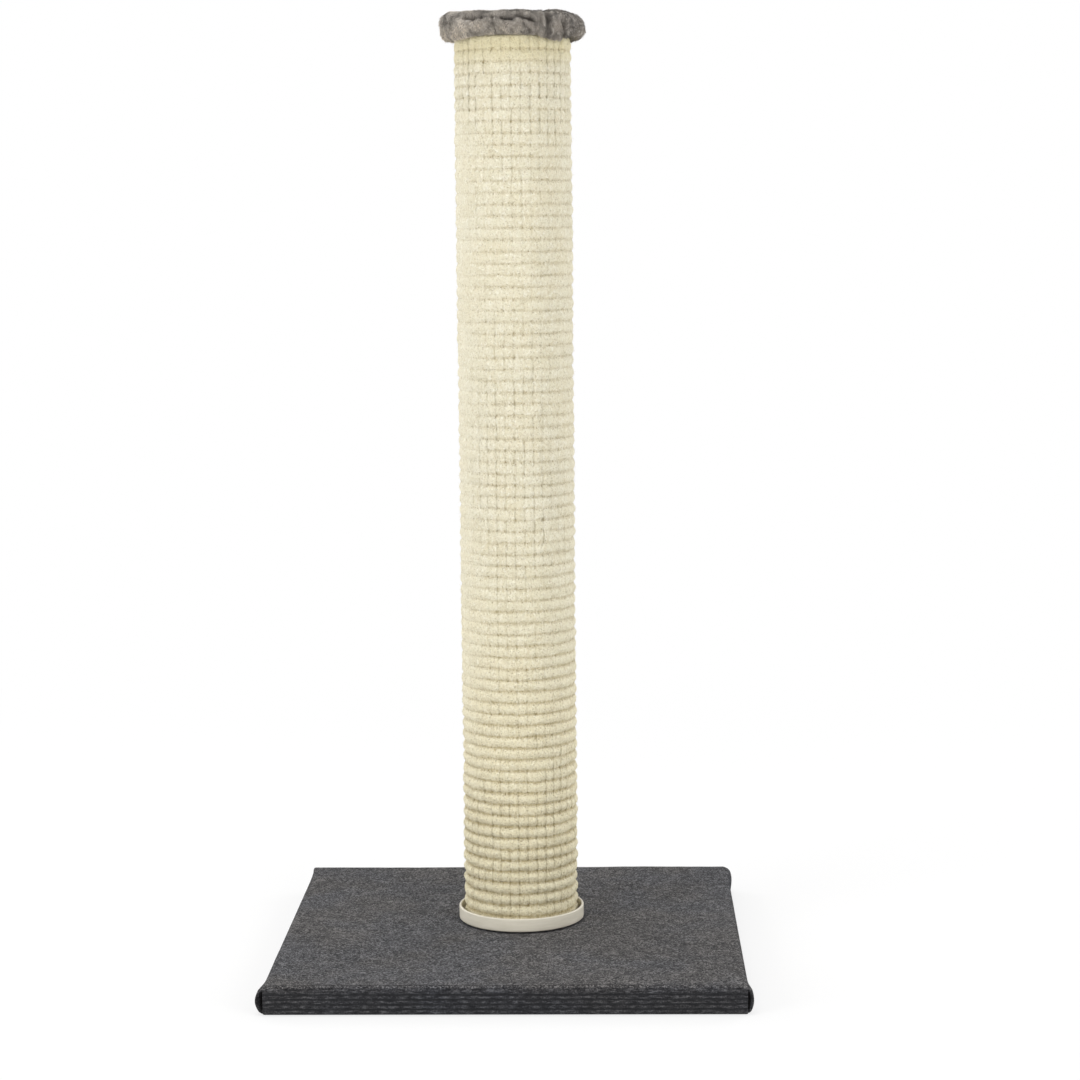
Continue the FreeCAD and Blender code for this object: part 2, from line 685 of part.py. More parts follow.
def make_sisal_wrap():
    """The sleeve of woven sisal. Its two upright edges meet in a narrow seam at the back."""
    body = new_body("sisal_wrap", TUBE_LEVEL)
    lathe(body, "sleeve", [
        (SISAL_BORE, "0"),
        (SISAL_RADIUS, "0"),
        (SISAL_RADIUS, "Sizes.tube_length"),
        (SISAL_BORE, "Sizes.tube_length"),
    ])
    joint = new_sketch(body, "joint")
    rectangle(joint, "-(Sizes.sisal_seam / 2)", "(Sizes.sisal_seam / 2)", "0",
              "Sizes.tube_length")
    feature(body, "Pocket", "seam", joint, "Sizes.tube_diameter")
    return body


# --- the cap -----------------------------------------------------------------------------------

def make_cap_disc():
    """The wooden disc inside the cap, countersunk for its bolt."""
    body = new_body("cap_disc", DISC_LEVEL)
    head_radius = "(Sizes.cap_bolt_head / 2)"
    lathe(body, "disc", [
        (THREAD_RADIUS, "0"),
        (DISC_RADIUS, "0"),
        (DISC_RADIUS, "Sizes.disc_thickness"),
        (head_radius, "Sizes.disc_thickness"),
        (THREAD_RADIUS, f"(Sizes.disc_thickness - ({head_radius} - {THREAD_RADIUS}))"),
    ])
    cap_staple(body, "Pocket", "staple_holes", "0")
    return body


def make_cap_pad():
    """The foam sheet glued on the disc, cut flush with its edge."""
    body = new_body("cap_pad", DISC_TOP)
    plan = new_sketch(body, "plan", "XY_Plane")
    circle(plan, DISC_RADIUS)
    feature(body, "Pad", "sheet", plan, "Sizes.pad_thickness")
    return body


def make_cap_cover():
    """The plush cover: a puffed roll round the cap, flat on top, gathered in under the disc."""
    body = new_body("cap_cover", TUBE_TOP)
    padding = "(Sizes.disc_thickness + Sizes.pad_thickness)"
    pad_top = f"(Sizes.plush_flap + {padding} + Sizes.plush_clearance)"
    top = f"({pad_top} + Sizes.plush_top)"
    roll = f"({top} / 2)"
    roll_axis = f"({CAP_RADIUS} - {roll})"
    lathe(body, "plush", [
        (FLAP_BORE, "0"),
        *quarter_turn(roll_axis, roll, roll, -90, 3)[:-1],
        *quarter_turn(roll_axis, roll, roll, 0, 3),
        ("0", top),
        ("0", pad_top),
        (COVER_BORE, pad_top),
        (COVER_BORE, "Sizes.plush_flap"),
        (FLAP_BORE, "Sizes.plush_flap"),
    ])
    dimple = new_sketch(body, "dimple", "XY_Plane")
    middle = f"({DISC_RADIUS} - Sizes.plush_flap_width / 2)"
    half_wire = "(Sizes.staple_wire / 2 + Sizes.staple_dimple)"
    half_length = f"({HALF_CROWN} + Sizes.staple_dimple)"
    rectangle(dimple, f"({middle} - {half_wire})", f"({middle} + {half_wire})",
              f"-{half_length}", half_length)
    cut = feature(body, "Pocket", "dimple_cut", dimple, "Sizes.plush_flap", reverse=True)
    ring_of(body, "dimples", cut, "Sizes.cap_staples")
    return body


def make_cap_staples():
    """The staples that hold the gathered plush under the disc."""
    body = new_body("cap_staples", TUBE_TOP)
    cap_staple(body, "Pad", "staple", "Sizes.plush_flap")
    return body


def main():
    """Make every sub-part, check each one and write it as a STEP file named for its node."""
    nodes = [
        make_base_board(),
        make_base_carpet(),
        make_base_staples(),
        make_base_collar(),
        make_foot_bolt(),
        make_foot_washer(),
        make_plug("foot_plug", FOOT_PLUG_LEVEL, nut_on_top=True),
        make_tee_nut("foot_tee_nut", f"({FOOT_PLUG_LEVEL} + Sizes.plug_thickness)", False),
        make_tube_staples("foot_plug_staples", FOOT_PLUG_LEVEL),
        make_post_tube(),
        make_sisal_wrap(),
        make_plug("head_plug", HEAD_PLUG_LEVEL, nut_on_top=False),
        make_tee_nut("head_tee_nut", HEAD_PLUG_LEVEL, True),
        make_tube_staples("head_plug_staples", HEAD_PLUG_LEVEL),
        make_cap_disc(),
        make_cap_bolt(),
        make_cap_pad(),
        make_cap_cover(),
        make_cap_staples(),
    ]
    doc.recompute()
    for thing in doc.Objects:
        if "Invalid" in thing.State or "Error" in thing.State:
            raise ValueError(f"{thing.Name} failed: {thing.State}")
    os.makedirs("parts", exist_ok=True)
    for node in nodes:
        if node.Shape.isNull() or not node.Shape.isValid():
            raise ValueError(f"{node.Label} has no valid shape")
        node.Shape.exportStep(f"parts/{node.Label}.step")
        box = node.Shape.BoundBox
        print(f"{node.Label}: {len(node.Shape.Solids)} solids, {node.Shape.Volume / 1000:.1f} cm3,"
              f" z {box.ZMin:.2f} to {box.ZMax:.2f}, {box.XLength:.1f} x {box.YLength:.1f}")


main()
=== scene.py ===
# %% [markdown]
# # A cat scratching post, dressed over its frame
#
# The post is a square board wrapped in charcoal carpet, a cardboard tube wrapped in
# woven sisal that stands in an ivory plastic dish, and a round cap covered in plush.
# The frame gives every solid its place. This script gives each one the finish that it
# has in the hand, and it builds the soft pieces anew, because cloth and fibre are
# shapes and not only colours.

# %% Load the frame
from math import cos, pi, radians, sin

import bmesh
import bpy
import numpy as np
from mathutils import Matrix, Vector


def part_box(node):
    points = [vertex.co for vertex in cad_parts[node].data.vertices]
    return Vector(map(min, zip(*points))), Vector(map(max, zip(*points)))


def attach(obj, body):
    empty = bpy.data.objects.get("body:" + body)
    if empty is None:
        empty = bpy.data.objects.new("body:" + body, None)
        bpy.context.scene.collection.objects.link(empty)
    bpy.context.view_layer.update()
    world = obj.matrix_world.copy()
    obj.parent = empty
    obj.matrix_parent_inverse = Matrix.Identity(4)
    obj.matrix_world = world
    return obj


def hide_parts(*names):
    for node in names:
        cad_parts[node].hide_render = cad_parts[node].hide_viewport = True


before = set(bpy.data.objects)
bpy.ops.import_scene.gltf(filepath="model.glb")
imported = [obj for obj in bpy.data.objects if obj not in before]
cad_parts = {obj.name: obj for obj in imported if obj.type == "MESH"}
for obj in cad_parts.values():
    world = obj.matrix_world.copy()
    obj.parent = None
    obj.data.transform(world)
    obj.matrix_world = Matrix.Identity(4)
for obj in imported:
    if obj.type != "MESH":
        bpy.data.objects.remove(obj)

MM = 0.001
scene = bpy.context.scene
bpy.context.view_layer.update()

# %% [markdown]
# ## The camera
#
# A photograph fixes where its camera stood: the eight corners of the base and the two
# edges of the post only line up from one place. The lens is given in millimetres on a
# 36 mm sensor. The camera's own axes are written straight into its matrix, which is
# easier to check than three turned angles.

# %% Camera
sensor_mm, lens_mm = 36.0, 86.39
eye = Vector((0.0875, -2.2581, 0.6454))
pitch, yaw, roll = (radians(a) for a in (7.008, 1.528, -0.558))
ahead = Vector((-sin(yaw) * cos(pitch), cos(yaw) * cos(pitch),
                -sin(pitch)))
level = Vector((cos(yaw), sin(yaw), 0))
above = level.cross(ahead)
across = level * cos(roll) + above * sin(roll)
upward = above * cos(roll) - level * sin(roll)

camera = bpy.data.objects.new("camera", bpy.data.cameras.new("camera"))
camera.data.sensor_width, camera.data.lens = sensor_mm, lens_mm
camera.data.clip_end = 60
axes = Matrix((across, upward, -ahead)).transposed().to_4x4()
camera.matrix_world = Matrix.Translation(eye) @ axes
scene.collection.objects.link(camera)
scene.camera = camera
scene.view_settings.view_transform = "Standard"
print("camera looks along", [round(c, 3) for c in ahead])

# %% [markdown]
# ## Materials as sums
#
# A procedural material is arithmetic on sockets. Drawing it node by node hides the sum,
# so one small class wraps a socket and lets Python's own operators add the Math nodes.
# Colours have three channels and a Math node would turn them grey, so they are blended
# with Mix nodes, and every other node comes from one method.

# %% Sockets that can be added and multiplied
class Socket:
    """One output of a shader node, with arithmetic on it."""

    def __init__(self, finish, outlet):
        self.finish, self.outlet = finish, outlet

    def math(self, operation, *others, swap=False):
        values = [self, *others]
        if swap:
            values.reverse()
        return self.finish.node("ShaderNodeMath", {"operation": operation},
                                dict(enumerate(values)))

    def __add__(self, other): return self.math("ADD", other)
    def __radd__(self, other): return self.math("ADD", other)
    def __sub__(self, other): return self.math("SUBTRACT", other)
    def __rsub__(self, other): return self.math("SUBTRACT", other, swap=True)
    def __mul__(self, other): return self.math("MULTIPLY", other)
    def __rmul__(self, other): return self.math("MULTIPLY", other)

    def ramp(self, low, high, start=0.0, end=1.0):
        """From start to end, smoothly, while this socket goes from low to high."""
        return self.finish.node("ShaderNodeMapRange",
                                {"interpolation_type": "SMOOTHSTEP", "clamp": True},
                                {0: self, 1: low, 2: high, 3: start, 4: end})

# %% Finishes, where the sockets meet
class Finish:
    """A material, or the world's air, under construction."""

    def __init__(self, name, world=False):
        self.material = (bpy.data.worlds if world else bpy.data.materials).new(name)
        self.material.use_nodes = True
        self.tree = self.material.node_tree
        self.tree.nodes.clear()
        self.output = self.tree.nodes.new("ShaderNodeOutput" + ("World" if world else "Material"))

    def node(self, kind, settings=(), values=(), outlet=0):
        """A node of this kind: its settings first, then its sockets' values or links."""
        node = self.tree.nodes.new(kind)
        for name, setting in dict(settings).items():
            if name == "stops":
                ramp = node.color_ramp
                while len(ramp.elements) < len(setting):
                    ramp.elements.new(0.5)
                for element, (place, colour) in zip(ramp.elements, setting):
                    element.position, element.color = place, (*colour, 1)
            else:
                setattr(node, name, setting)
        for name, value in dict(values).items():
            inlet = node.inputs[name]
            if isinstance(value, Socket):
                self.tree.links.new(value.outlet, inlet)
            elif isinstance(value, tuple) and inlet.type == "RGBA":
                inlet.default_value = (*value, 1)
            else:
                inlet.default_value = value
        return Socket(self, node.outputs[outlet])

    def place(self, stretch=(1, 1, 1)):
        """Where a point is on the object, in metres, each axis scaled by stretch."""
        here = self.node("ShaderNodeTexCoord", outlet="Object")
        return self.node("ShaderNodeMapping", (), {"Vector": here, "Scale": stretch})

    def part(self, vector, axis):
        """One of the three numbers of a vector or colour."""
        return self.node("ShaderNodeSeparateXYZ", (), {0: vector}, outlet=axis)

    def noise(self, where, scale, detail=3.0, roughness=0.55):
        """Cloudy random numbers round 0.5, scale clouds to a metre."""
        return self.node("ShaderNodeTexNoise", (), {"Vector": where, "Scale": scale,
                                                    "Detail": detail, "Roughness": roughness})

    def cells(self, where, scale, outlet="Distance"):
        """Random cells, scale of them to a metre."""
        return self.node("ShaderNodeTexVoronoi", (), {"Vector": where, "Scale": scale},
                         outlet=outlet)

    def stops(self, factor, *stops):
        """A colour from a ramp with stops of (place, colour)."""
        return self.node("ShaderNodeValToRGB", {"stops": stops}, {0: factor})

    def kept(self, name):
        """A number that the mesh carries for each of its points."""
        return self.node("ShaderNodeAttribute", {"attribute_name": name}, outlet="Fac")

    def blend(self, factor, first, second, how="MIX"):
        """A colour between first and second."""
        return self.node("ShaderNodeMix", {"data_type": "RGBA", "blend_type": how},
                         {0: factor, 6: first, 7: second}, outlet=2)

    def times(self, first, second):
        """One colour multiplied by another."""
        return self.blend(1.0, first, second, "MULTIPLY")

    def bump(self, height, distance, strength=1.0):
        """A normal that leans as if the surface rose by height times distance, in metres."""
        return self.node("ShaderNodeBump", (), {"Height": height, "Distance": distance,
                                                "Strength": strength})

    def close(self, shader):
        """Sends a shader to the output."""
        self.tree.links.new(shader.outlet, self.output.inputs["Surface"])
        print(self.material.name, "has", len(self.tree.nodes), "nodes")
        return self.material

    def surface(self, **values):
        """Closes the material with a principled shader; Base_Color means Base Color."""
        return self.close(self.node("ShaderNodeBsdfPrincipled", (), {
            name.replace("_", " "): value for name, value in values.items()}))

# %% [markdown]
# ## The floor, the air and the lamps
#
# A catalogue picture stands on white. The white belongs to the floor and the air as the
# camera sees them, and not to extra light, or the post would bleach. The floor is part
# plain matt, so that it keeps the shadow, and part white for the camera alone, more so
# away from the post. Three large soft lamps light its front: one overhead, one at the
# left, one at the right. Two weak ones stand behind, so that its back can be seen too.

# %% Floor
floor_reach, floor_gap = 30.0, 0.0004
floor_mesh = bpy.data.meshes.new("floor")
floor_mesh.from_pydata([(x * floor_reach, y * floor_reach, 0)
                        for x, y in ((-1, -1), (1, -1), (1, 1), (-1, 1))], [], [(0, 1, 2, 3)])
floor = bpy.data.objects.new("floor", floor_mesh)
floor.location.z = -floor_gap
scene.collection.objects.link(floor)


# %% What the camera sees of the floor and the air
def looked_at(finish):
    """1 for rays that the eye follows, also by way of metal or glass, and 0 for the rest."""
    camera_ray, mirrored, through = (finish.node("ShaderNodeLightPath", outlet=f"Is {kind} Ray")
                                     for kind in ("Camera", "Glossy", "Transmission"))
    return camera_ray + mirrored + through


pale = Finish("pale_floor")
matt = pale.node("ShaderNodeBsdfDiffuse", (), {"Color": (0.93, 0.93, 0.93)})
white = pale.node("ShaderNodeEmission", (), {"Strength": 1.0})
from_post = pale.node("ShaderNodeVectorMath", {"operation": "LENGTH"}, {0: pale.place()},
                      outlet="Value")
shown = looked_at(pale) * from_post.ramp(0.3, 1.5, 0.72, 1.0)
floor_mesh.materials.append(pale.close(
    pale.node("ShaderNodeMixShader", (), {0: shown, 1: matt, 2: white})))

air = Finish("studio_air", world=True)
light, backdrop = (air.node("ShaderNodeBackground", (), {"Color": (1, 1, 1), "Strength": power})
                   for power in (0.52, 1.0))
scene.world = air.close(
    air.node("ShaderNodeMixShader", (), {0: looked_at(air), 1: light, 2: backdrop}))


# %% Lamps
def lamp(name, place, aim_height, size, power):
    """A square soft box at place, facing the post's middle at aim_height."""
    light = bpy.data.lights.new(name, "AREA")
    light.size, light.energy = size, power
    holder = bpy.data.objects.new(name, light)
    holder.location = place
    towards = Vector((0, 0, aim_height)) - Vector(place)
    holder.rotation_euler = towards.to_track_quat("-Z", "Y").to_euler()
    scene.collection.objects.link(holder)


lamp("overhead", (-0.2, -0.4, 2.6), 0.2, 1.5, 17)
lamp("key_left", (-2.2, -1.75, 0.95), 0.5, 1.3, 36)
lamp("fill_right", (1.9, -2.0, 1.0), 0.5, 1.3, 30)
lamp("back_left", (-1.9, 1.5, 1.1), 0.45, 1.3, 17)
lamp("back_right", (1.9, 1.5, 1.1), 0.45, 1.3, 17)
print("lamps", [light.name for light in bpy.data.lights])

# %% [markdown]
# ## Building meshes from arrays
#
# Cloth, weave and wrap are all grids of points that are rolled, folded or pushed in and
# out, so every soft piece here starts as a numpy array of rows and columns. One helper
# turns such a grid into faces and another turns points and faces into a piece. Slow
# per-face calls are avoided, because these meshes have tens of thousands of faces.

# %% Mesh helpers
post_low, post_high = (np.array(corner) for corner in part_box("post_tube"))
post_x, post_y = (post_low + post_high)[:2] / 2


def about_axis(r, angle, z):
    """Points at radius r and height z round the post's axis; angle 0 is its front."""
    return np.stack(np.broadcast_arrays(post_x + r * np.sin(angle), post_y - r * np.cos(angle),
                                        z), axis=-1)


def grid_faces(rows, columns, start=0, closed=False):
    """Quads between neighbouring points of a grid; closed joins its last column to its first."""
    index = np.arange(rows * columns).reshape(rows, columns) + start
    right = np.roll(index, -1, axis=1)
    quads = np.stack([index[:-1], right[:-1], right[1:], index[1:]], axis=-1)
    return (quads if closed else quads[:, :-1]).reshape(-1, 4)


def piece(name, points, faces, material, slot, **kept):
    """A smooth mesh that rides on the frame: a list of arrays of quads or triangles, and
    any numbers that its points carry."""
    mesh = bpy.data.meshes.new(name)
    mesh.vertices.add(len(points))
    mesh.vertices.foreach_set("co", np.asarray(points, dtype=np.float32).ravel())
    corners = np.concatenate([f.ravel() for f in faces])
    mesh.loops.add(len(corners))
    mesh.loops.foreach_set("vertex_index", corners.astype(np.int32))
    sizes = np.concatenate([np.full(len(f), f.shape[1]) for f in faces])
    mesh.polygons.add(len(sizes))
    mesh.polygons.foreach_set("loop_start", (np.cumsum(sizes) - sizes).astype(np.int32))
    for label, numbers in kept.items():
        layer = mesh.attributes.new(label, "FLOAT", "POINT")
        layer.data.foreach_set("value", np.float32(numbers).ravel())
    mesh.update(calc_edges=True)
    mesh.validate()
    mesh.shade_smooth()
    mesh.materials.append(material)
    made = bpy.data.objects.new(name, mesh)
    scene.collection.objects.link(made)
    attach(made, "root")
    print("piece", name, len(points), "points", int((sizes - 2).sum()), "triangles")
    return made

# %% Smooth steps and smooth random numbers
def ease(value, low, high):
    """0 below low, 1 above high, and a smooth rise between."""
    part = np.clip((value - low) / (high - low), 0, 1)
    return part * part * (3 - 2 * part)


def bell(distance, breadth):
    """1 where distance is 0, falling smoothly to nothing over about two breadths."""
    return np.exp(-(distance / breadth) ** 2)


def drift(u, v, seed, around=None):
    """Smooth random numbers from -1 to 1, one cell per unit; around makes u repeat."""
    cells = 512
    table = np.random.default_rng(seed).uniform(-1, 1, (cells, cells))
    u, v = np.broadcast_arrays(u, v)
    i, j = np.floor(u).astype(int), np.floor(v).astype(int)
    f, g = u - i, v - j
    f, g = f * f * (3 - 2 * f), g * g * (3 - 2 * g)
    wrap = around or cells
    i0, i1, j0, j1 = i % wrap, (i + 1) % wrap, j % cells, (j + 1) % cells
    return ((table[i0, j0] * (1 - f) + table[i1, j0] * f) * (1 - g)
            + (table[i0, j1] * (1 - f) + table[i1, j1] * f) * g)

# %% [markdown]
# ## Fibres as thin tapered strands
#
# Plush and sisal both end in loose fibres. Blender's hair would do, but it is not a
# mesh, so it could not be kept with the part. A strand here is a three-sided spike with
# a bend halfway. It carries three numbers: how far a point is along it, a tone of its
# own, and how deep in a crease it stands, so one material can vary from root to tip and
# from strand to strand.

# %% Strands
def strands(name, roots, ways, bends, lengths, width, material, slot, seed, sunk=0.0):
    """Spikes from roots along ways that turn towards bends, one length each."""
    count, sides = len(roots), 3
    ways = ways / np.linalg.norm(ways, axis=1, keepdims=True)
    bends = bends / np.linalg.norm(bends, axis=1, keepdims=True)
    side = np.cross(ways, (0.31, 0.17, 0.93))
    side /= np.linalg.norm(side, axis=1, keepdims=True)
    other = np.cross(ways, side)
    length = np.asarray(lengths)[:, None]
    middle = roots + ways * length * 0.5
    tip = middle + (ways * 0.35 + bends * 0.65) * length * 0.5
    corner = np.arange(sides)[:, None, None] * 2 * pi / sides
    out = side * np.cos(corner) + other * np.sin(corner)
    rings = [*(roots + out * width / 2), *(middle + out * width * 0.75 / 2)]
    points = np.stack([*rings, tip], axis=1).reshape(-1, 3)
    in_strand = 2 * sides + 1
    first = (np.arange(count) * in_strand)[:, None]
    quads, tips = (np.concatenate([first + corners for corners in shape]) for shape in (
        [(0, 1, 4, 3), (1, 2, 5, 4), (2, 0, 3, 5)], [(3, 4, 6), (4, 5, 6), (5, 3, 6)]))
    along = np.tile([0, 0, 0, 0.5, 0.5, 0.5, 1], count)
    tone = np.repeat(np.random.default_rng(seed).random(count), in_strand)
    sunk = np.repeat(np.broadcast_to(sunk, count), in_strand)
    return piece(name, points, [quads, tips], material, slot, along=along, tone=tone, sunk=sunk)

# %% [markdown]
# ## The carpet round the base
#
# One sheet of ribbed needle felt covers the board, turns down over all four sides and is
# stapled beneath in flaps. Its ribs run from left to right, so they lie along the front
# and stand upright at the two sides. Seen from above the pile closes over them and only
# a heathered grey shows. Where the sheet bends over an edge the ribs open, and painted
# shade darkens it as it turns upright. A cloth simulation would only blur these folds,
# so the sheet is laid out as a grid that follows the path of the cloth.

# %% Sizes of the wrapped sheet
_, carpet_high = (np.array(corner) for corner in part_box("base_carpet"))
half_width = half_depth = float(carpet_high[1])
carpet_top, top_bend, foot_bend, flap = float(carpet_high[2]), 4.5 * MM, 3.0 * MM, 45 * MM
rib, sheet_thick, near_floor = 4.1 * MM, 3.0 * MM, 0.5 * MM
print("carpet", round(half_width * 2000, 1), "mm square, top at", round(carpet_top / MM, 1))

# %% The path of the cloth and its ribs
def wrap_path(face_step, under_step):
    """Down one side of the board: outward and height from the start of the bend, with the
    normals."""
    steps = []
    for angle in np.linspace(0, pi / 2, 8):
        across, up = sin(angle), cos(angle)
        steps.append((top_bend * across, carpet_top - top_bend + top_bend * up, across, up))
    face = np.arange(carpet_top - top_bend - face_step, foot_bend, -face_step)
    steps += [(top_bend, z, 1, 0) for z in face]
    for angle in np.linspace(0, pi / 2, 5):
        across, down = cos(angle), sin(angle)
        steps.append((top_bend - foot_bend + foot_bend * across, foot_bend - foot_bend * down,
                      across, -down))
    under = np.arange(top_bend - foot_bend - under_step, top_bend - flap, -under_step)
    steps += [(out, 0, 0, -1) for out in under]
    return np.array(steps).T


def rib_groove(distance, depth):
    """How deep the ribbing sinks at a distance along the sheet."""
    return depth * (0.5 + 0.5 * np.cos(2 * pi * distance / rib))


face_ribs, top_ribs, flap_ribs = 0.55 * MM, 0.13 * MM, 0.2 * MM


def rib_depth(out, height):
    """Full ribs on the upright face, closed ones on top and flattened ones beneath."""
    on_face = ease(out, near_floor, top_bend) * ease(height, near_floor, 3 * MM)
    beneath = height < near_floor
    return top_ribs + (face_ribs - top_ribs) * on_face + (flap_ribs - top_ribs) * beneath

# %% [markdown]
# ### The four corners
#
# At a corner a square of surplus cloth has to go somewhere. It is folded in under the
# left or right side, which swells there into a round cheek. At the front the cheek ends
# in a free edge beside the front face, and one looks past it into a hollow darkened with
# painted shade: a wide one at the left, a narrow one at the right. No two corners are
# folded alike, so each has a swelling of its own. The staples press shallow dimples in
# the flaps.

# %% The top of the sheet
flat_half = half_width - top_bend
rows_y = np.arange(-flat_half, flat_half + 0.1 * MM, rib / 5)
rows_y = np.linspace(-flat_half, flat_half, len(rows_y))
columns_x = np.linspace(-flat_half, flat_half, 90)
top_x, top_y = np.meshgrid(columns_x, rows_y)
top_points = np.stack([top_x, top_y, carpet_top - rib_groove(top_y, top_ribs)], axis=-1)
carpet_points, carpet_quads = [top_points.reshape(-1, 3)], [grid_faces(*top_x.shape)]
print("top of the sheet:", *top_x.shape, "points")

# %% Adding a wing to it
def add_wing(points):
    """One more grid of the sheet, with its faces numbered on."""
    start = sum(len(p) for p in carpet_points)
    carpet_quads.append(grid_faces(*points.shape[:2], start=start))
    carpet_points.append(points.reshape(-1, 3))


def dimple(x, y):
    """How far the staples lift the flaps from the floor."""
    lift = np.zeros(np.broadcast(x, y).shape)
    half_long, half_broad, high = 7.5 * MM, 3.2 * MM, 1.3 * MM
    staple_line, staple_reach = half_width - flap / 2, half_width - flap
    for place in np.linspace(-staple_reach, staple_reach, 4):
        for line in (-staple_line, staple_line):
            for along, beside in ((x, y), (y, x)):
                near = ((along - place) / half_long) ** 2 + ((beside - line) / half_broad) ** 2
                lift = np.maximum(lift, high * np.exp(-near * 1.2))
    return lift


def mitred(out, trim):
    """How much a flap narrows towards its inner edge, so that two flaps meet in a mitre."""
    return np.clip((flat_half + out + trim) / half_width, 0, 1)


hem = np.array([0, 0, sheet_thick])

# %% Front and back wings
wing_ends = flat_half + np.array([1.0, 2.0, 2.7, 3.2, 3.5]) * MM
wing_x = np.concatenate([-wing_ends[::-1], columns_x, wing_ends])[None, :]
out, height, n_out, n_up = (row[:, None] for row in wrap_path(rib / 5, 2 * MM))
walk = np.hypot(np.diff(out[:, 0]), np.diff(height[:, 0]))
length = np.concatenate([[0], np.cumsum(walk)])[:, None]
sink = rib_groove(flat_half + length, rib_depth(out, height))
beyond = np.clip(np.abs(wing_x) - flat_half, 0, None)
drop = top_bend - np.sqrt(top_bend ** 2 - beyond ** 2)
for front in (-1, 1):
    x = wing_x * np.where(height < near_floor, mitred(out, 0.6 * MM), 1)
    y = front * (flat_half + out - n_out * sink) + 0 * x
    z = height - n_up * sink - drop * ease(height, 10 * MM, carpet_top)
    z = z + np.where(height < near_floor, dimple(x, y), 0)
    sheet = np.stack([x, y, z], axis=-1)
    sheet = np.concatenate([sheet, sheet[-1:] + hem])
    skirts = [sheet[:, i:i + 1] + np.array([inward * sheet_thick, -front * 1.5 * MM, 0])
              for i, inward in ((0, 1), (-1, -1))]
    sheet = np.concatenate([skirts[0], sheet, skirts[1]], axis=1)
    add_wing(sheet if front < 0 else sheet[:, ::-1])
print("a front wing:", *sheet.shape[:2], "points, cloth", round(float(length[-1, 0]) / MM), "mm")

# %% Left and right wings with their cheeks
cheeks = {(-1, -1): (5.8, 30), (1, -1): (4.6, 28), (1, 1): (4.4, 70), (-1, 1): (1.6, 45)}
hollow_width = {-1: 1.0, 1: 0.4}
end_radius, board_middle = 4.3 * MM, 11 * MM
tuck_line = half_width - 0.3 * MM
end_steps = np.array([1.0, 2.0, 2.9, 3.6, 4.1]) * MM
wing_y = np.concatenate([-(flat_half + end_steps)[::-1], rows_y, flat_half + end_steps])[:, None]
out, height, n_out, n_up = (row[None, :] for row in wrap_path(1.35 * MM, 4 * MM))
beyond = np.clip(np.abs(wing_y) - flat_half, 0, None)
end_round = end_radius - np.sqrt(end_radius ** 2 - beyond ** 2)
sink = rib_groove(np.abs(wing_y), rib_depth(out, height) * (1 - 0.8 * ease(beyond, 0, 2 * MM)))
upright = np.sin(pi * np.clip(height / (carpet_top - near_floor), 0, 1))
off_floor = height > 0.1 * MM
for right in (-1, 1):
    swell = np.zeros((len(wing_y), out.shape[1]))
    for (side, front), (most, reach) in cheeks.items():
        if side == right:
            from_end = np.clip(half_depth - front * wing_y, 0, None)
            bulge = bell(from_end, reach * MM * 0.55) * upright ** 0.62 * off_floor
            swell = swell + most * MM * bulge
    hollow = upright ** 1.2 * off_floor * hollow_width[right]
    rounding = end_round * np.where(height < near_floor, 0.15, 1.0 - 0.8 * hollow * (wing_y < 0))
    y = wing_y * np.where(height < near_floor, mitred(out, -0.4 * MM), 1)
    x = right * (flat_half + out - n_out * (sink + rounding) + swell)
    z = height - n_up * (sink + rounding)
    z = z + np.where(height < near_floor, dimple(x, y), 0)
    sheet = np.stack([x, y + 0 * x, z], axis=-1)
    sheet = np.concatenate([sheet, sheet[:, -1:] + hem], axis=1)
    tucks = []
    for row, front in ((0, -1), (-1, 1)):
        tuck = sheet[row:row + 1].copy()
        tuck[..., 0] = np.where(tuck[..., 2] > near_floor, right * tuck_line, tuck[..., 0])
        tuck[..., 1] -= front * (2.6 + 7 * np.append(hollow, 0)[None, :] * (front < 0)) * MM
        tuck[..., 2] = board_middle + (tuck[..., 2] - board_middle) * 0.8
        tucks.append(tuck)
    sheet = np.concatenate([tucks[0], sheet, tucks[1]])
    add_wing(sheet[:, ::-1] if right < 0 else sheet)
print("a side wing:", *sheet.shape[:2], "points")

# %% [markdown]
# ### The felt's finish
#
# Heathered felt mixes near-black, mid-grey and pale fibres with a few blue and brown
# ones. On top they lie in curls, so a twisted noise draws them. On the sides the ribbing
# has combed them straight, so there a noise is stretched along the ribs. A wide one
# gives faint clouds of brown and blue. Where the sheet stands upright its colour is
# darkened, a painted shade for faces that the light from above leaves dim, and painted
# shade darkens it once more in the grooves of the ribs and in the hollows of the cheeks.

# %% How the fibres lie
felt = Finish("heathered_felt")
where = felt.place()
outside = felt.node("ShaderNodeNewGeometry", outlet="Normal")
lying_flat = felt.part(outside, "Z").ramp(0.15, 0.9)
at_side = felt.part(outside, "X").math("ABSOLUTE").ramp(0.4, 0.7)
fleck = felt.noise(where, 760, 2, 0.7)
curl = felt.node("ShaderNodeTexNoise", (), {"Vector": where, "Scale": 250, "Detail": 2,
                                            "Distortion": 2.4})
dash_front, dash_side = (felt.noise(felt.place(stretch), 620, 2, 0.7)
                         for stretch in ((0.22, 1, 1), (1, 1, 0.22)))
dash = dash_front + (dash_side - dash_front) * at_side
lying = fleck * 0.45 + curl * 0.55
standing = fleck * 0.25 + dash * 0.42 + 0.165
blotch = felt.noise(where, 95, 2)
mottle = standing + (lying - standing) * lying_flat + (blotch - 0.5) * 0.11

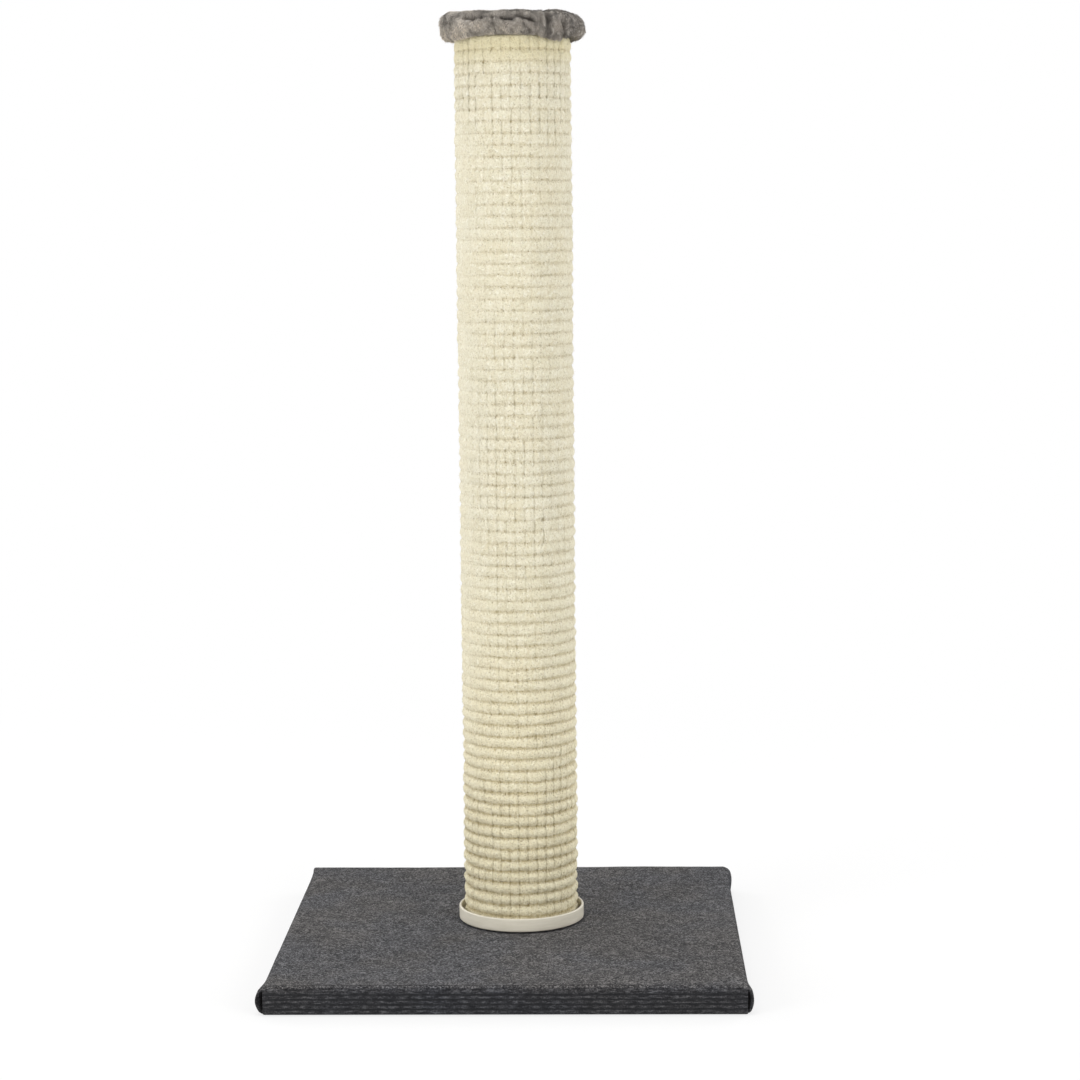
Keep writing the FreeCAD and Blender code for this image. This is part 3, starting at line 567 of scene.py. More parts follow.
# %% Carpet material
grey = felt.stops(mottle, (0.38, (0.012, 0.012, 0.014)), (0.465, (0.037, 0.0365, 0.0383)),
                  (0.52, (0.071, 0.07, 0.0722)), (0.6, (0.188, 0.186, 0.188)))
cloud = felt.noise(where, 14, 2)
blue_or_brown = felt.blend(cloud.ramp(0.35, 0.65), (0.98, 0.99, 1.035), (1.035, 1.0, 0.97))
tinted = felt.times(grey, blue_or_brown)
# painted shade: the upright faces darker than the top, as if the light falls from above
shaded_upright = felt.times(tinted, (0.53, 0.545, 0.572))
coloured = felt.blend(lying_flat, shaded_upright, tinted)
# painted shade: near black in the grooves of the ribs and in the corner hollows
groove_shade_amount = felt.kept("groove").ramp(0.15, 0.95) * 0.82
coloured = felt.blend(groove_shade_amount, coloured, (0.0135, 0.014, 0.0155))
carpet_finish = felt.surface(Base_Color=coloured, Roughness=0.95, Sheen_Weight=0.04,
                             Sheen_Roughness=0.6, Specular_IOR_Level=0.1,
                             Normal=felt.bump(mottle, 0.0014, 0.9))

# %% Settling the sheet
points, quads = np.concatenate(carpet_points), np.concatenate(carpet_quads)
x, y, z = points.T
wobble = drift(x * 28, y * 28, 5) * 0.35 * MM + drift(x * 110, y * 110, 6) * 0.12 * MM
z += np.where(z > 5 * MM, wobble * ease(z, 5 * MM, 22 * MM), 0)
dish_press, dish_reach = 1.4 * MM, 60.5 * MM
from_dish = np.hypot(x - post_x, y - post_y)
z -= dish_press * ease(dish_reach - from_dish, 0, 5 * MM) * (z > 20 * MM)
to_back_corner = np.hypot(x + half_width, y - half_depth)
back_tip = bell(to_back_corner, 3 * MM) * (z > 15 * MM)
points += back_tip[:, None] * np.array([-2.0, 1.2, 2.4]) * MM

# %% Where painted shade darkens its grooves and hollows
side_on = np.maximum(np.abs(x), np.abs(y)) > half_width - 1.5 * MM
away_x = np.abs(x) > half_width - 1.2 * MM
along_cloth = np.where(away_x, np.abs(y), flat_half + 7 * MM + (carpet_top - top_bend - z))
groove = rib_groove(along_cloth, 1.0) * side_on
groove *= ease(z, near_floor, 2 * MM) * ease(carpet_top - z, 2 * MM, 5 * MM)
in_hollow = (np.abs(np.abs(x) - tuck_line) < 0.001 * MM) & (y < 0)
groove = np.where(in_hollow, 1.0, groove)

# %% The sheet as one piece
carpet = piece("carpet_wrap", points, [quads], carpet_finish, "ribbed_carpet", groove=groove)
joined = bmesh.new()
joined.from_mesh(carpet.data)
bmesh.ops.remove_doubles(joined, verts=joined.verts, dist=0.01 * MM)
joined.to_mesh(carpet.data)
joined.free()
carpet.data.shade_smooth()
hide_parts("base_carpet")

# %% [markdown]
# ## The moulded dish
#
# The foot of the post stands in a shallow ivory dish, turned here from one profile: an
# outer wall with a rounded lip, a floor, and in the middle the ring and boss that centre
# the tube. A lathe profile is the natural form for it. Eight thin ribs brace the ring,
# and they are plain plates, as in the mould.

# %% Turning a profile
def corner_round(centre, radius, start, end, count=6):
    """Points of an arc of a profile, angles in degrees."""
    return [(centre[0] + radius * cos(radians(a)),
             centre[1] + radius * sin(radians(a)))
            for a in np.linspace(start, end, count)]


def turned(profile, segments):
    """Points and faces of a closed profile of (radius, height) turned round the post's axis."""
    r, z = np.array([*profile, profile[0]]).T[:, :, None]
    angle = (np.arange(segments) * 2 * pi / segments)[None, :]
    return about_axis(r, angle, z).reshape(-1, 3), grid_faces(len(r), segments, closed=True)

# %% Collar, all in millimetres until it is turned
dish_low, dish_high = (np.array(corner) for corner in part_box("base_collar"))
wide = (dish_high[0] - dish_low[0]) / 2 / MM
foot, peak = dish_low[2] / MM, dish_high[2] / MM
edge, lip = 0.5, 1.1
rim = peak - edge
wall, floor_thick = 2.2, 2.5
ring_out, ring_in, boss, bolt_bore = 39.7, 37.7, 10.5, 4.5
profile = [(bolt_bore, foot), *corner_round((wide - 1.5, foot + 1.5), 1.5, -90, 0),
           *corner_round((wide - lip, rim - lip), lip, 0, 180, 12),
           *corner_round((wide - wall - 1.2, foot + floor_thick + 1.2), 1.2, 0, -90),
           *corner_round((ring_out + 0.8, foot + floor_thick + 0.8), 0.8, 270, 180),
           *corner_round((ring_out - edge, peak - edge), edge, 0, 90),
           *corner_round((ring_in + edge, peak - edge), edge, 90, 180),
           (ring_in, foot + floor_thick), (boss + edge, foot + floor_thick),
           *corner_round((boss, peak - edge), edge, 0, 90), (bolt_bore, peak)]
dish_points, dish_quads = turned([(r * MM, z * MM) for r, z in profile], 176)

# %% Its eight ribs
box_corners = np.array([(x, y, z) for x in (0, 1) for y in (-1, 1) for z in (0, 1)], dtype=float)
box_quads = np.array([(0, 1, 3, 2), (4, 6, 7, 5), (0, 4, 5, 1), (2, 3, 7, 6), (0, 2, 6, 4),
                      (1, 5, 7, 3)])
rib_size, rib_start = np.array([27.2, 0.9, peak - foot - 3.0]), np.array([10.7, 0, foot + 2.4])
plate = box_corners * rib_size * MM + rib_start * MM
for number in range(8):
    cosine, sine = cos(number * pi / 4), sin(number * pi / 4)
    spun = np.stack([plate[:, 0] * cosine - plate[:, 1] * sine + post_x,
                     plate[:, 0] * sine + plate[:, 1] * cosine + post_y, plate[:, 2]], axis=-1)
    dish_quads = np.concatenate([dish_quads, box_quads + len(dish_points)])
    dish_points = np.concatenate([dish_points, spun])
print("dish with", len(profile), "points in its profile and 8 ribs")

# %% Ivory plastic
ivory = Finish("ivory_plastic_moulded")
where = ivory.place()
scuffs = ivory.noise(ivory.place((1, 1, 6)), 60, 4, 0.6)
grain = ivory.noise(where, 1800, 2)
darker_low = ivory.part(where, "Z").ramp(foot * MM, (foot + 4) * MM, 1, 0)
shade = ivory.blend(scuffs.ramp(0.3, 0.7), (0.63, 0.59, 0.485), (0.69, 0.645, 0.54))
# darker towards the bottom, over the lowest 4 mm of the dish
shade = ivory.blend(darker_low * 0.18, shade, (0.36, 0.33, 0.29))
ivory_finish = ivory.surface(Base_Color=shade, Roughness=scuffs.ramp(0.2, 0.8, 0.34, 0.5),
                             Normal=ivory.bump(grain + scuffs * 0.6, 0.00006, 0.6),
                             Specular_IOR_Level=0.45)
dish = piece("moulded_dish", dish_points, [dish_quads], ivory_finish, "ivory_plastic")
dish.data.set_sharp_from_angle(angle=radians(42))
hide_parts("base_collar")

# %% [markdown]
# ## The woven sisal
#
# The wrap is a looped sisal mat, glued round the tube. Its rows are level, ten
# millimetres apart, and each row is a line of about thirty-eight soft blocks, where a
# thick yarn rises over the warp. Rows end in a tight dark furrow, and the furrows
# between blocks are weaker and come and go, since in places the yarn is matted over
# them. Low on the post the weave is coarse and deep, and under the cap it is gridded.
# At a metre these blocks are the whole character of the post, so they are real shapes:
# a grid with six points to a row and five to a block, pushed in at the furrows.

# %% The weave's grid
blocks, block_steps, row_steps, row_pitch = 38, 5, 6, 10 * MM
sisal_low, sisal_high = post_low[2], post_high[2]
row_count = round((sisal_high - sisal_low) / row_pitch)
across_count, up_count = blocks * block_steps, row_count * row_steps + 1
column, level_up = np.meshgrid(np.arange(across_count), np.arange(up_count))
block, row = column // block_steps, level_up // row_steps
in_block, in_row = (column % block_steps) / block_steps, (level_up % row_steps) / row_steps
up = level_up / (up_count - 1)
at_top = level_up == up_count - 1
low_down = 1 - ease(up, 0.02, 0.3)
chance = np.random.default_rng(11)
print("sisal", row_count, "rows of", blocks, "blocks")


# %% Chance that closes round the post
def round_post(across, upward, seed, levels=level_up):
    """drift over the weave, in clouds of so many columns by so many levels."""
    return drift(column / across, levels / upward, seed, around=round(across_count / across))


matted_from, matted_breadth = 297, 27
from_matted = (column * 360 / across_count - matted_from + 180) % 360 - 180
matted = bell(from_matted, matted_breadth) * ease(up, 0.12, 0.35) * (1 - ease(up, 0.86, 0.95))
gluey = ease(level_up / row_steps, row_count - 3.2, row_count - 0.5)

# %% How strong each furrow is
furrow_row = np.array([1.0, 0.5, 0.12, 0.0, 0.1, 0.5])[level_up % row_steps]
furrow_block = np.array([1.0, 0.35, 0.0, 0.0, 0.35])[column % block_steps]
row_strength = 0.72 + 0.38 * round_post(9, row_steps, 21)
row_strength *= 1.15 - 0.45 * up + 0.4 * (1 - ease(up, 0.04, 0.4))
row_strength *= (1 - 0.5 * matted) * np.where(at_top, 0.3, 1.0)
closed = chance.random((row_count + 1, blocks))
warp_yarn = np.array([0.9, 0.2, 0.35])[np.arange(blocks) % 3]
opened = np.where(closed < 0.25, 0.0, 0.3 + 0.7 * closed)
block_strength = np.clip(opened + 0.25 * warp_yarn, 0, 1)[row, block]
clear = (0.55 + 0.5 * drift(block / 4.75, row / 7, 22, around=8)
         + 0.2 * np.cos(column * 2 * pi / across_count)
         + 0.8 * ease(up, 0.88, 0.96) + 0.9 * low_down - 0.7 * matted)
block_strength = np.clip(block_strength * np.clip(clear, 0.2, 1.4), 0, 1.15)
block_lift = chance.normal(0, 0.24, (row_count + 1, blocks))[row, block] * (1 + 0.7 * low_down)

# %% Pushing the furrows in
row_depth, block_depth, crest = 2.1, 0.9, 50.9
fuzz = drift(column * 0.83, level_up * 0.71, 23, around=round(across_count * 0.83))
ripple = round_post(14, 31, 24)
glued_down = gluey * (0.9 * round_post(2.3, 2.7, 25) - 0.6)
radius = (crest - row_depth * furrow_row * row_strength
          - block_depth * furrow_block * block_strength * (1 - 0.5 * furrow_row)
          + block_lift * (1 - furrow_row) * (1 - furrow_block) + 0.3 * fuzz + 0.35 * ripple
          + glued_down) * MM
turn_step, seam_turn, seam_depth = 2 * pi / across_count, pi, 3.4 * MM
angle = column * turn_step + round_post(7, 5, 26) * turn_step * 0.3
from_seam = np.abs((column * turn_step - seam_turn + pi) % (2 * pi) - pi) * crest
from_seam = np.abs(from_seam + 0.9 * drift(level_up / 19, 0, 29))
seam_gap = bell(from_seam, 1.5)
radius -= seam_gap * seam_depth

# %% Letting the rows sway
sway = round_post(11, 1, 27, levels=row) * 0.5 + round_post(3.1, 1, 28, levels=row) * 0.3
swayed = sisal_low + up * (sisal_high - sisal_low) + sway * MM * np.sin(pi * up) ** 0.2
weave_z = np.clip(swayed - 0.35 * MM * (1 - furrow_row), sisal_low, sisal_high)
tucked_under_cap = 1.9 * MM
weave_z += tucked_under_cap * ease(level_up, up_count - 5, up_count - 1)
weave = about_axis(radius, angle, weave_z)

# %% Closing the sleeve
bore, mid_wall, half_way = 45.1 * MM, 47.5 * MM, (sisal_low + sisal_high) / 2
straight = np.arange(across_count) * turn_step
under_weave, over_weave = ([about_axis(r, straight, z) for r, z in rings] for rings in (
    [(bore, sisal_low), (mid_wall, sisal_low)],
    [(mid_wall, sisal_high), (bore, sisal_high), (bore, half_way), (bore, sisal_low)]))
layers = np.stack([*under_weave, *weave, *over_weave])


def with_ends(values):
    """values for the weave, and nothing for the rows of points that close the sleeve."""
    return np.concatenate([np.zeros((2, across_count)), values, np.zeros((4, across_count))])


# %% What the points carry
to_furrow = np.where(at_top, 0.35, np.minimum(in_row, 1 - in_row) + 0.16 * matted)
to_gap = np.minimum(in_block, 1 - in_block)
own_tone = chance.random((row_count + 1, blocks))[row, block]
carried = {"furrow": to_furrow, "gap": to_gap, "tone": own_tone, "tight": block_strength,
           "glue": gluey, "seam": seam_gap}
carried = {label: with_ends(values) for label, values in carried.items()}
print("each point of the weave carries", *carried)

# %% [markdown]
# ### Sisal's finish
#
# Sisal is a pale, hard, shiny leaf fibre. Its crests are cream, lifted by a painted
# highlight, and painted shade takes the furrows and the gaps between blocks down to tan,
# for light reaches there only after bouncing off more fibre. Fine streaks run round the
# post along the yarn, with pale and dark fibres among them; the pale streaks are partly
# painted highlight, and the dark fibres gather in the furrows as painted shade. Lower
# down, where the weave is open, painted shade makes the cream warmer, and the painted
# shade and highlights are stronger. The glue line under the cap has yellowed a little.

# %% Fibres, furrows and gaps
sisal = Finish("sisal_weave")
where = sisal.place()
streak = sisal.noise(sisal.place((1, 1, 0.6)), 560, 3, 0.7)
speck = sisal.noise(where, 760, 2, 0.7)
yellowed = sisal.noise(where, 26, 3)
ragged = streak * 0.5 - 0.25
in_furrow = (sisal.kept("furrow") + ragged * 0.6).ramp(-0.05, 0.26, 1, 0)
in_gap = ((sisal.kept("gap") + ragged * 0.45).ramp(-0.03, 0.14, 1, 0) * sisal.kept("tight")
          * (in_furrow * 0.7 + 0.3))
high_up = sisal.part(where, "Z").ramp(0.05, 0.45)

# %% Sisal material
cream = sisal.blend(sisal.kept("tone"), (0.775, 0.725, 0.55), (0.82, 0.775, 0.61))
for amount, colour in (
        (yellowed.ramp(0.35, 0.7) * 0.5, (0.815, 0.745, 0.55)),
        # pale fibre streaks, partly a painted highlight, stronger low down
        (streak.ramp(0.53, 0.66) * (0.85 - high_up * 0.2), (0.96, 0.93, 0.8)),
        # painted highlight on the crests, stronger low down
        ((1 - in_furrow) * (1 - high_up) * 0.3, (0.95, 0.91, 0.74)),
        (streak.ramp(0.32, 0.46, 1, 0) * 0.5, (0.6, 0.51, 0.32)),
        (sisal.kept("glue") * 0.55, (0.74, 0.65, 0.36)),
        # painted shade in the gaps between blocks, stronger low down
        (in_gap * (0.9 - high_up * 0.25), (0.43, 0.34, 0.17)),
        (sisal.kept("seam") * 0.6, (0.5, 0.41, 0.22))):
    cream = sisal.blend(amount, cream, colour)
# painted shade: the cream warmer low down
cream = sisal.times(cream, sisal.blend(high_up, (1.0, 0.97, 0.87), (1.0, 1.0, 1.0)))
# painted shade in the row furrows, stronger low down
cream = sisal.blend(in_furrow * (0.7 - high_up * 0.4), cream, (0.44, 0.34, 0.15))
# dark fibres, gathered into the furrows and low down as painted shade
dark_fibres_and_furrow_shade = speck.ramp(0.34, 0.43, 1, 0) * (in_furrow * 0.5 + 0.6 - high_up * 0.22)
relief = streak * 0.7 + speck * 0.5 - in_gap * 0.45
sisal_finish = sisal.surface(Base_Color=sisal.blend(dark_fibres_and_furrow_shade, cream, (0.3, 0.225, 0.1)),
                             Roughness=speck.ramp(0.2, 0.8, 0.55, 0.8),
                             Normal=sisal.bump(relief, 0.003, 1.0), Specular_IOR_Level=0.35)

# %% The sleeve as one piece
sleeve_faces = grid_faces(len(layers), across_count, closed=True)
wrap = piece("sisal_mat", layers.reshape(-1, 3), [sleeve_faces], sisal_finish, "woven_sisal",
             **carried)
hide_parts("sisal_wrap")

# %% [markdown]
# ### Loose sisal fibres
#
# New sisal is hairy. Short stiff fibres stand off the crests in every direction and
# catch the light, more of them along the seam at the back. They are strands rooted just
# inside the crests, mostly lying round the post.

# %% Where the stray fibres stand
hair_count = 14000
place_up = chance.integers(2, up_count - 2, hair_count)
place_round = chance.integers(0, across_count, hair_count)
seamy = chance.random(hair_count) < 0.06
by_seam = (across_count // 2 + chance.integers(-2, 3, hair_count)) % across_count
place_round = np.where(seamy, by_seam, place_round)
turn_at = angle[place_up, place_round][:, None]
outward = np.concatenate([np.sin(turn_at), -np.cos(turn_at), 0 * turn_at], axis=1)
around = np.concatenate([np.cos(turn_at), np.sin(turn_at), 0 * turn_at], axis=1)
roots = weave[place_up, place_round] - outward * 0.25 * MM

# %% Stray fibres
lean = chance.normal(0, 1, (hair_count, 3))
ways = (outward * (0.22 + 0.25 * np.abs(lean[:, :1])) + around * lean[:, 1:2]
        + np.array([0, 0, 1]) * lean[:, 2:] * 0.45)
bends = ways - outward * 0.5 + np.array([0, 0, -0.2])
hair = Finish("loose_sisal")
hair_colour = hair.blend(hair.kept("tone"), (0.66, 0.57, 0.38), (0.93, 0.89, 0.77))
hair_finish = hair.surface(Base_Color=hair_colour, Roughness=0.5)
strands("sisal_hairs", roots, ways, bends, chance.uniform(1.6, 5.0, hair_count) * MM, 0.16 * MM,
        hair_finish, "woven_sisal", 31)

# %% [markdown]
# ## The plush cap
#
# A disc of long plush is laid over the padded head, pulled down over its rim and
# stapled beneath. It puffs out over the rim, and the pull gathers it into creases: one
# wavy line that runs round just below the top, and upright ones where the slack was
# taken up, most of them at the right front. The form is a turned profile, puffed and
# creased by moving its points, and the pile is strands that lie down and outwards.

# %% The profile of the puffed form, in millimetres
rim_line, rim_out, rim_up, rim_middle = 51.8, 9.4, 9.4, 812.4
crown = [(0.5, 820.4), (20, 820.5), (36, 820.9), (46, 821.6)]
round_rim = [(rim_line + rim_out * cos(a) ** 0.85, rim_middle + rim_up * sin(a))
             for a in np.linspace(radians(78), radians(-80), 22)]
gathered_in = [(51.9, 802.3), (51.0, 802.9), (46.5, 803.3)]
cap_profile = np.array([*crown, *round_rim, *gathered_in]) * MM

# %% Its grid of points
around_count, down_count, crown_count, crown_edge = 420, 96, 22, 46 * MM
walked = np.concatenate([[0], np.cumsum(np.hypot(*np.diff(cap_profile, axis=0).T))])
stations = np.concatenate([np.linspace(0, crown_edge, crown_count, endpoint=False),
                           np.linspace(crown_edge, walked[-1], down_count - crown_count)])
cap_r, cap_z = (np.interp(stations, walked, cap_profile[:, i]) for i in (0, 1))
for line in (cap_r, cap_z):
    for _ in range(4):
        line[1:-1] = (line[:-2] + 2 * line[1:-1] + line[2:]) / 4
slope_r, slope_z = np.gradient(cap_r), np.gradient(cap_z)
steep = np.hypot(slope_r, slope_z)
face_out, face_up = (-slope_z / steep)[:, None], (slope_r / steep)[:, None]
turn = (np.arange(around_count) * 2 * pi / around_count)[None, :]
turn_deg = (np.degrees(turn) + 180) % 360 - 180
cap_r, cap_z = cap_r[:, None] + 0 * turn, cap_z[:, None] + 0 * turn
r_mm, z_mm = cap_r / MM, cap_z / MM
print("cap grid", *cap_r.shape, "points")

# %% [markdown]
# ### Creases
#
# Each crease is a short line on the rim, from one turn angle and height to another, with
# a depth and a width. Cloth pushed in along a line swells beside it, so each crease also
# raises two soft shoulders. Those at the front follow the photograph: a broken line
# below the top, then the upright ones. The rest are drawn from a seeded dice.

# %% Crease lines: turn and height from, turn and height to, depth, width
below_top = [
    (-54, 819.8, -41, 817.6, 0.9, 1.6), (-44, 817, -36, 818.2, 1.3, 1.7),
    (-40, 817.5, -31, 816.3, 2.7, 2.3), (-33, 816.5, -24, 817.2, 1.9, 1.7),
    (-24, 817.2, -15, 818, 0.9, 1.4), (-15, 818, -6, 816.2, 1.2, 1.5),
    (-7, 816.6, -2, 815.2, 1.8, 1.6), (-4, 815.9, 2, 815.1, 2.7, 2.2),
    (1, 815, 7, 817.6, 1.2, 1.4), (6, 817.9, 12, 816.6, 1.9, 1.6),
    (10, 817, 16, 815.2, 2.7, 2.1), (16, 815.4, 21, 812.4, 1.8, 1.7)]
upright_ones = [
    (-57, 814, -55, 804, 0.8, 1.4), (-14, 817, -12, 804, 1.0, 1.2), (-4, 812, 3, 805, 0.8, 1.3),
    (10, 812, 18, 804, 1.1, 1.4), (19, 813, 22, 805, 0.9, 1.4), (32, 818.4, 34, 807, 3.7, 2.4),
    (25, 815, 24, 804, 0.9, 1.5), (46, 814, 53, 804, 2.6, 1.9), (40, 807, 38, 800, 1.2, 1.3),
    (60, 810, 50, 806, 1.5, 1.5), (-35, 811, -32, 804, 0.6, 1.5)]
dice = np.random.default_rng(43)
other_creases = []
for start in np.arange(72, 300, 9.0):
    at = start + dice.uniform(-3, 3)
    lean = dice.uniform(-7, 7)
    low, high = dice.uniform(801, 805), dice.uniform(812, 821)
    other_creases.append((at, high, at + lean, low, dice.uniform(1.0, 2.4),
                          dice.uniform(1.4, 2.1)))
    if dice.random() < 0.75:
        other_creases.append((at, 816 + dice.uniform(-2, 2), at + 10,
                              816 + dice.uniform(-2.5, 2.5), dice.uniform(1.2, 2.4), 1.9))
print("creases", len(below_top + upright_ones), "at the front,", len(other_creases), "elsewhere")

# %% Pushing the creases in
crease_push, rim_mm = 1.35, 62.0
cap_shift, crease_mask = np.zeros_like(cap_r), np.zeros_like(cap_r)
on_rim = ease(r_mm, 46, 56)
shoulder = 0.26 * (1 - 0.6 * ease(z_mm, 816.5, 820))
for start, high, end, low, depth, breadth in below_top + upright_ones + other_creases:
    middle = (start + end) / 2
    apart = ((turn_deg - middle + 180) % 360 - 180) * pi / 180 * rim_mm
    a = np.array([(start - middle) * pi / 180 * rim_mm, high])
    b = np.array([(end - middle) * pi / 180 * rim_mm, low])
    run = b - a
    share = ((apart - a[0]) * run[0] + (z_mm - a[1]) * run[1]) / (run @ run)
    share = np.clip(share, 0, 1)
    off = np.hypot(apart - a[0] - share * run[0], z_mm - a[1] - share * run[1])
    dent = bell(off, breadth)
    raised = shoulder * bell(off - 2.4 * breadth, breadth) - dent
    cap_shift += on_rim * depth * crease_push * raised
    crease_mask = np.maximum(crease_mask, on_rim * dent * min(depth / 2.4, 1))

# %% [markdown]
# ### Puffs and hanging lobes
#
# Between the creases the filling swells and sinks. A few broad swellings follow the
# outline in the photograph, smooth random ones take up the rest, and they are calmer
# along the top at the front. Here and there a lobe of plush hangs below the rim. At
# the front the lower edge is drawn up a little, under the disc, where the sisal ends.

# %% Broad swellings: turn, height, how much, how wide, how tall
swellings = [(-88, 819, 1.3, 26, 3.0), (-90, 813, -0.8, 28, 3.4), (-90, 806, 1.5, 28, 3.6),
             (0, 819.5, 0.7, 45, 4.0), (-62, 821, 1.3, 26, 3.0), (84, 818.5, -1.7, 28, 4.0),
             (88, 806.5, 1.6, 9, 3.0), (50, 820.5, 1.8, 15, 3.5), (-5, 805, -0.4, 36, 3.6),
             (40, 812, 0.9, 4, 6.0)]
lobes = [(44, 15, 5.0), (-62, 24, 3.6), (120, 20, 2.0), (-140, 22, 2.2)]
for at, high, most, wide_deg, tall in swellings:
    cap_shift += most * bell(turn_deg - at, wide_deg) * bell(z_mm - high, tall)

# %% Puffs, lumps and lobes
filled = ease(r_mm, 40, 58)
puff = (drift(turn_deg / 21, cap_z / (9 * MM), 44) * 0.7
        + drift(turn_deg / 7, cap_z / (5 * MM), 45) * 0.35)
puff *= 1 - 0.6 * ease(z_mm, 815, 819.5) * ease(np.cos(turn), -0.3, 0.3)
top_lumps = 0.7 * drift(cap_r * np.sin(turn) / (13 * MM) + 40,
                        cap_r * np.cos(turn) / (13 * MM) + 40, 46)
near_tuck = ease((stations[-1] - stations)[:, None] / MM, 6, 11.5)
deepest, highest = -4.8, 2.6
cap_shift = np.clip(cap_shift, deepest, highest) + filled * puff
cap_shift = cap_shift * near_tuck + (1 - filled) * top_lumps
lower = ease(812 - z_mm, 0, 9)
hang = sum(bell(turn_deg - at, breadth) * most for at, breadth, most in lobes) * lower
drawn_up = bell(turn_deg + 12, 42) * lower * ease(r_mm, 50.3, 52) * (1 - ease(r_mm, 52.3, 54.5))

# %% The cap's points
reach = cap_r + cap_shift * MM * face_out
rise = cap_z + cap_shift * MM * face_up + (drawn_up - hang * ease(r_mm, 50, 56)) * MM
cap_points = about_axis(reach, turn, rise)
print("cap from", round(float(rise.min() / MM), 1), "to", round(float(rise.max() / MM), 1), "mm")

# %% [markdown]
# ### The plush's finish
#
# Taupe plush with a silvery lie: the roots are dark and warm and the tips pale, and
# patches of the tips get a painted sheen, paler where the pile would be brushed towards
# the eye. Painted light makes the tips paler at the left than at the right, and they are
# darker and greyer over the top edge. Painted shade darkens the creases, in the backing
# and in the strands. Backing and strands share the same range of colours, so a thin
# place in the pile never shows as a hole.

# %% Backing
backing = Finish("plush_backing")
clump = backing.noise(backing.place((1, 1, 0.45)), 240, 3, 0.6)
taupe = backing.blend(clump.ramp(0.3, 0.7), (0.22, 0.198, 0.172), (0.46, 0.42, 0.37))
# painted shade in the creases
taupe = backing.blend(backing.kept("creased") * 0.8, taupe, (0.06, 0.052, 0.045))
backing_finish = backing.surface(Base_Color=taupe, Roughness=0.9, Sheen_Weight=0.3,
                                 Sheen_Roughness=0.5, Normal=backing.bump(clump, 0.0016, 0.8))

# %% Pile
pile = Finish("plush_pile")
patch = pile.noise(pile.place(), 62, 2)
brushed = pile.noise(pile.place((1, 1, 0.4)), 170, 2, 0.6)
root_colour = pile.blend(patch.ramp(0.35, 0.65), (0.17, 0.156, 0.14), (0.29, 0.256, 0.222))
# painted sheen: patches of paler tips
sheen = patch.ramp(0.39, 0.6) * 0.5 + brushed.ramp(0.38, 0.6) * 0.4 + pile.kept("tone") * 0.1
tip_colour = pile.blend(sheen, (0.205, 0.19, 0.17), (0.88, 0.808, 0.73))
right_side = pile.part(pile.place(), "X").ramp(-0.06, 0.07)
top_side = pile.part(pile.place(), "Z").ramp(0.807, 0.82)
# painted light: the tips paler at the left than at the right; darker and greyer towards the top
# edge
for side, first, second in ((right_side, (1.28, 1.27, 1.25), (0.56, 0.56, 0.57)),
                            (top_side, (1.02, 1.0, 0.95), (0.8, 0.81, 0.815))):
    tip_colour = pile.times(tip_colour, pile.blend(side, first, second))
pile_colour = pile.blend(pile.kept("along").ramp(0.0, 0.9), root_colour, tip_colour)
# painted shade on the strands that stand in the creases
pile_colour = pile.blend(pile.kept("sunk") * 0.85, pile_colour, (0.075, 0.066, 0.058))
pile_finish = pile.surface(Base_Color=pile_colour, Roughness=0.55, Specular_IOR_Level=0.4)

# %% The cover under the pile
cap_faces = grid_faces(*cap_r.shape, closed=True)[:, ::-1]
crown_point = np.array([[post_x, post_y, float(rise[0].mean())]])
inner_ring = np.arange(around_count)
fan = np.stack([np.full(around_count, cap_r.size), np.roll(inner_ring, -1), inner_ring],
               axis=-1)[:, ::-1]
cover = piece("plush_cover", np.concatenate([cap_points.reshape(-1, 3), crown_point]),
              [cap_faces, fan], backing_finish, "plush", creased=np.append(crease_mask, 0))
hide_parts("cap_cover")

# %% Which way the cover faces
du = np.roll(cap_points, -1, axis=1) - np.roll(cap_points, 1, axis=1)
dv = np.gradient(cap_points, axis=0)
normal = np.cross(dv, du)
normal /= np.linalg.norm(normal, axis=-1, keepdims=True) + 1e-12
outwards = np.stack([np.sin(turn) * face_out, -np.cos(turn) * face_out, face_up + 0 * turn],
                    axis=-1)
normal *= np.sign((normal * outwards).sum(-1, keepdims=True))
patch_area = np.linalg.norm(du, axis=-1) / 2 * np.linalg.norm(dv, axis=-1)


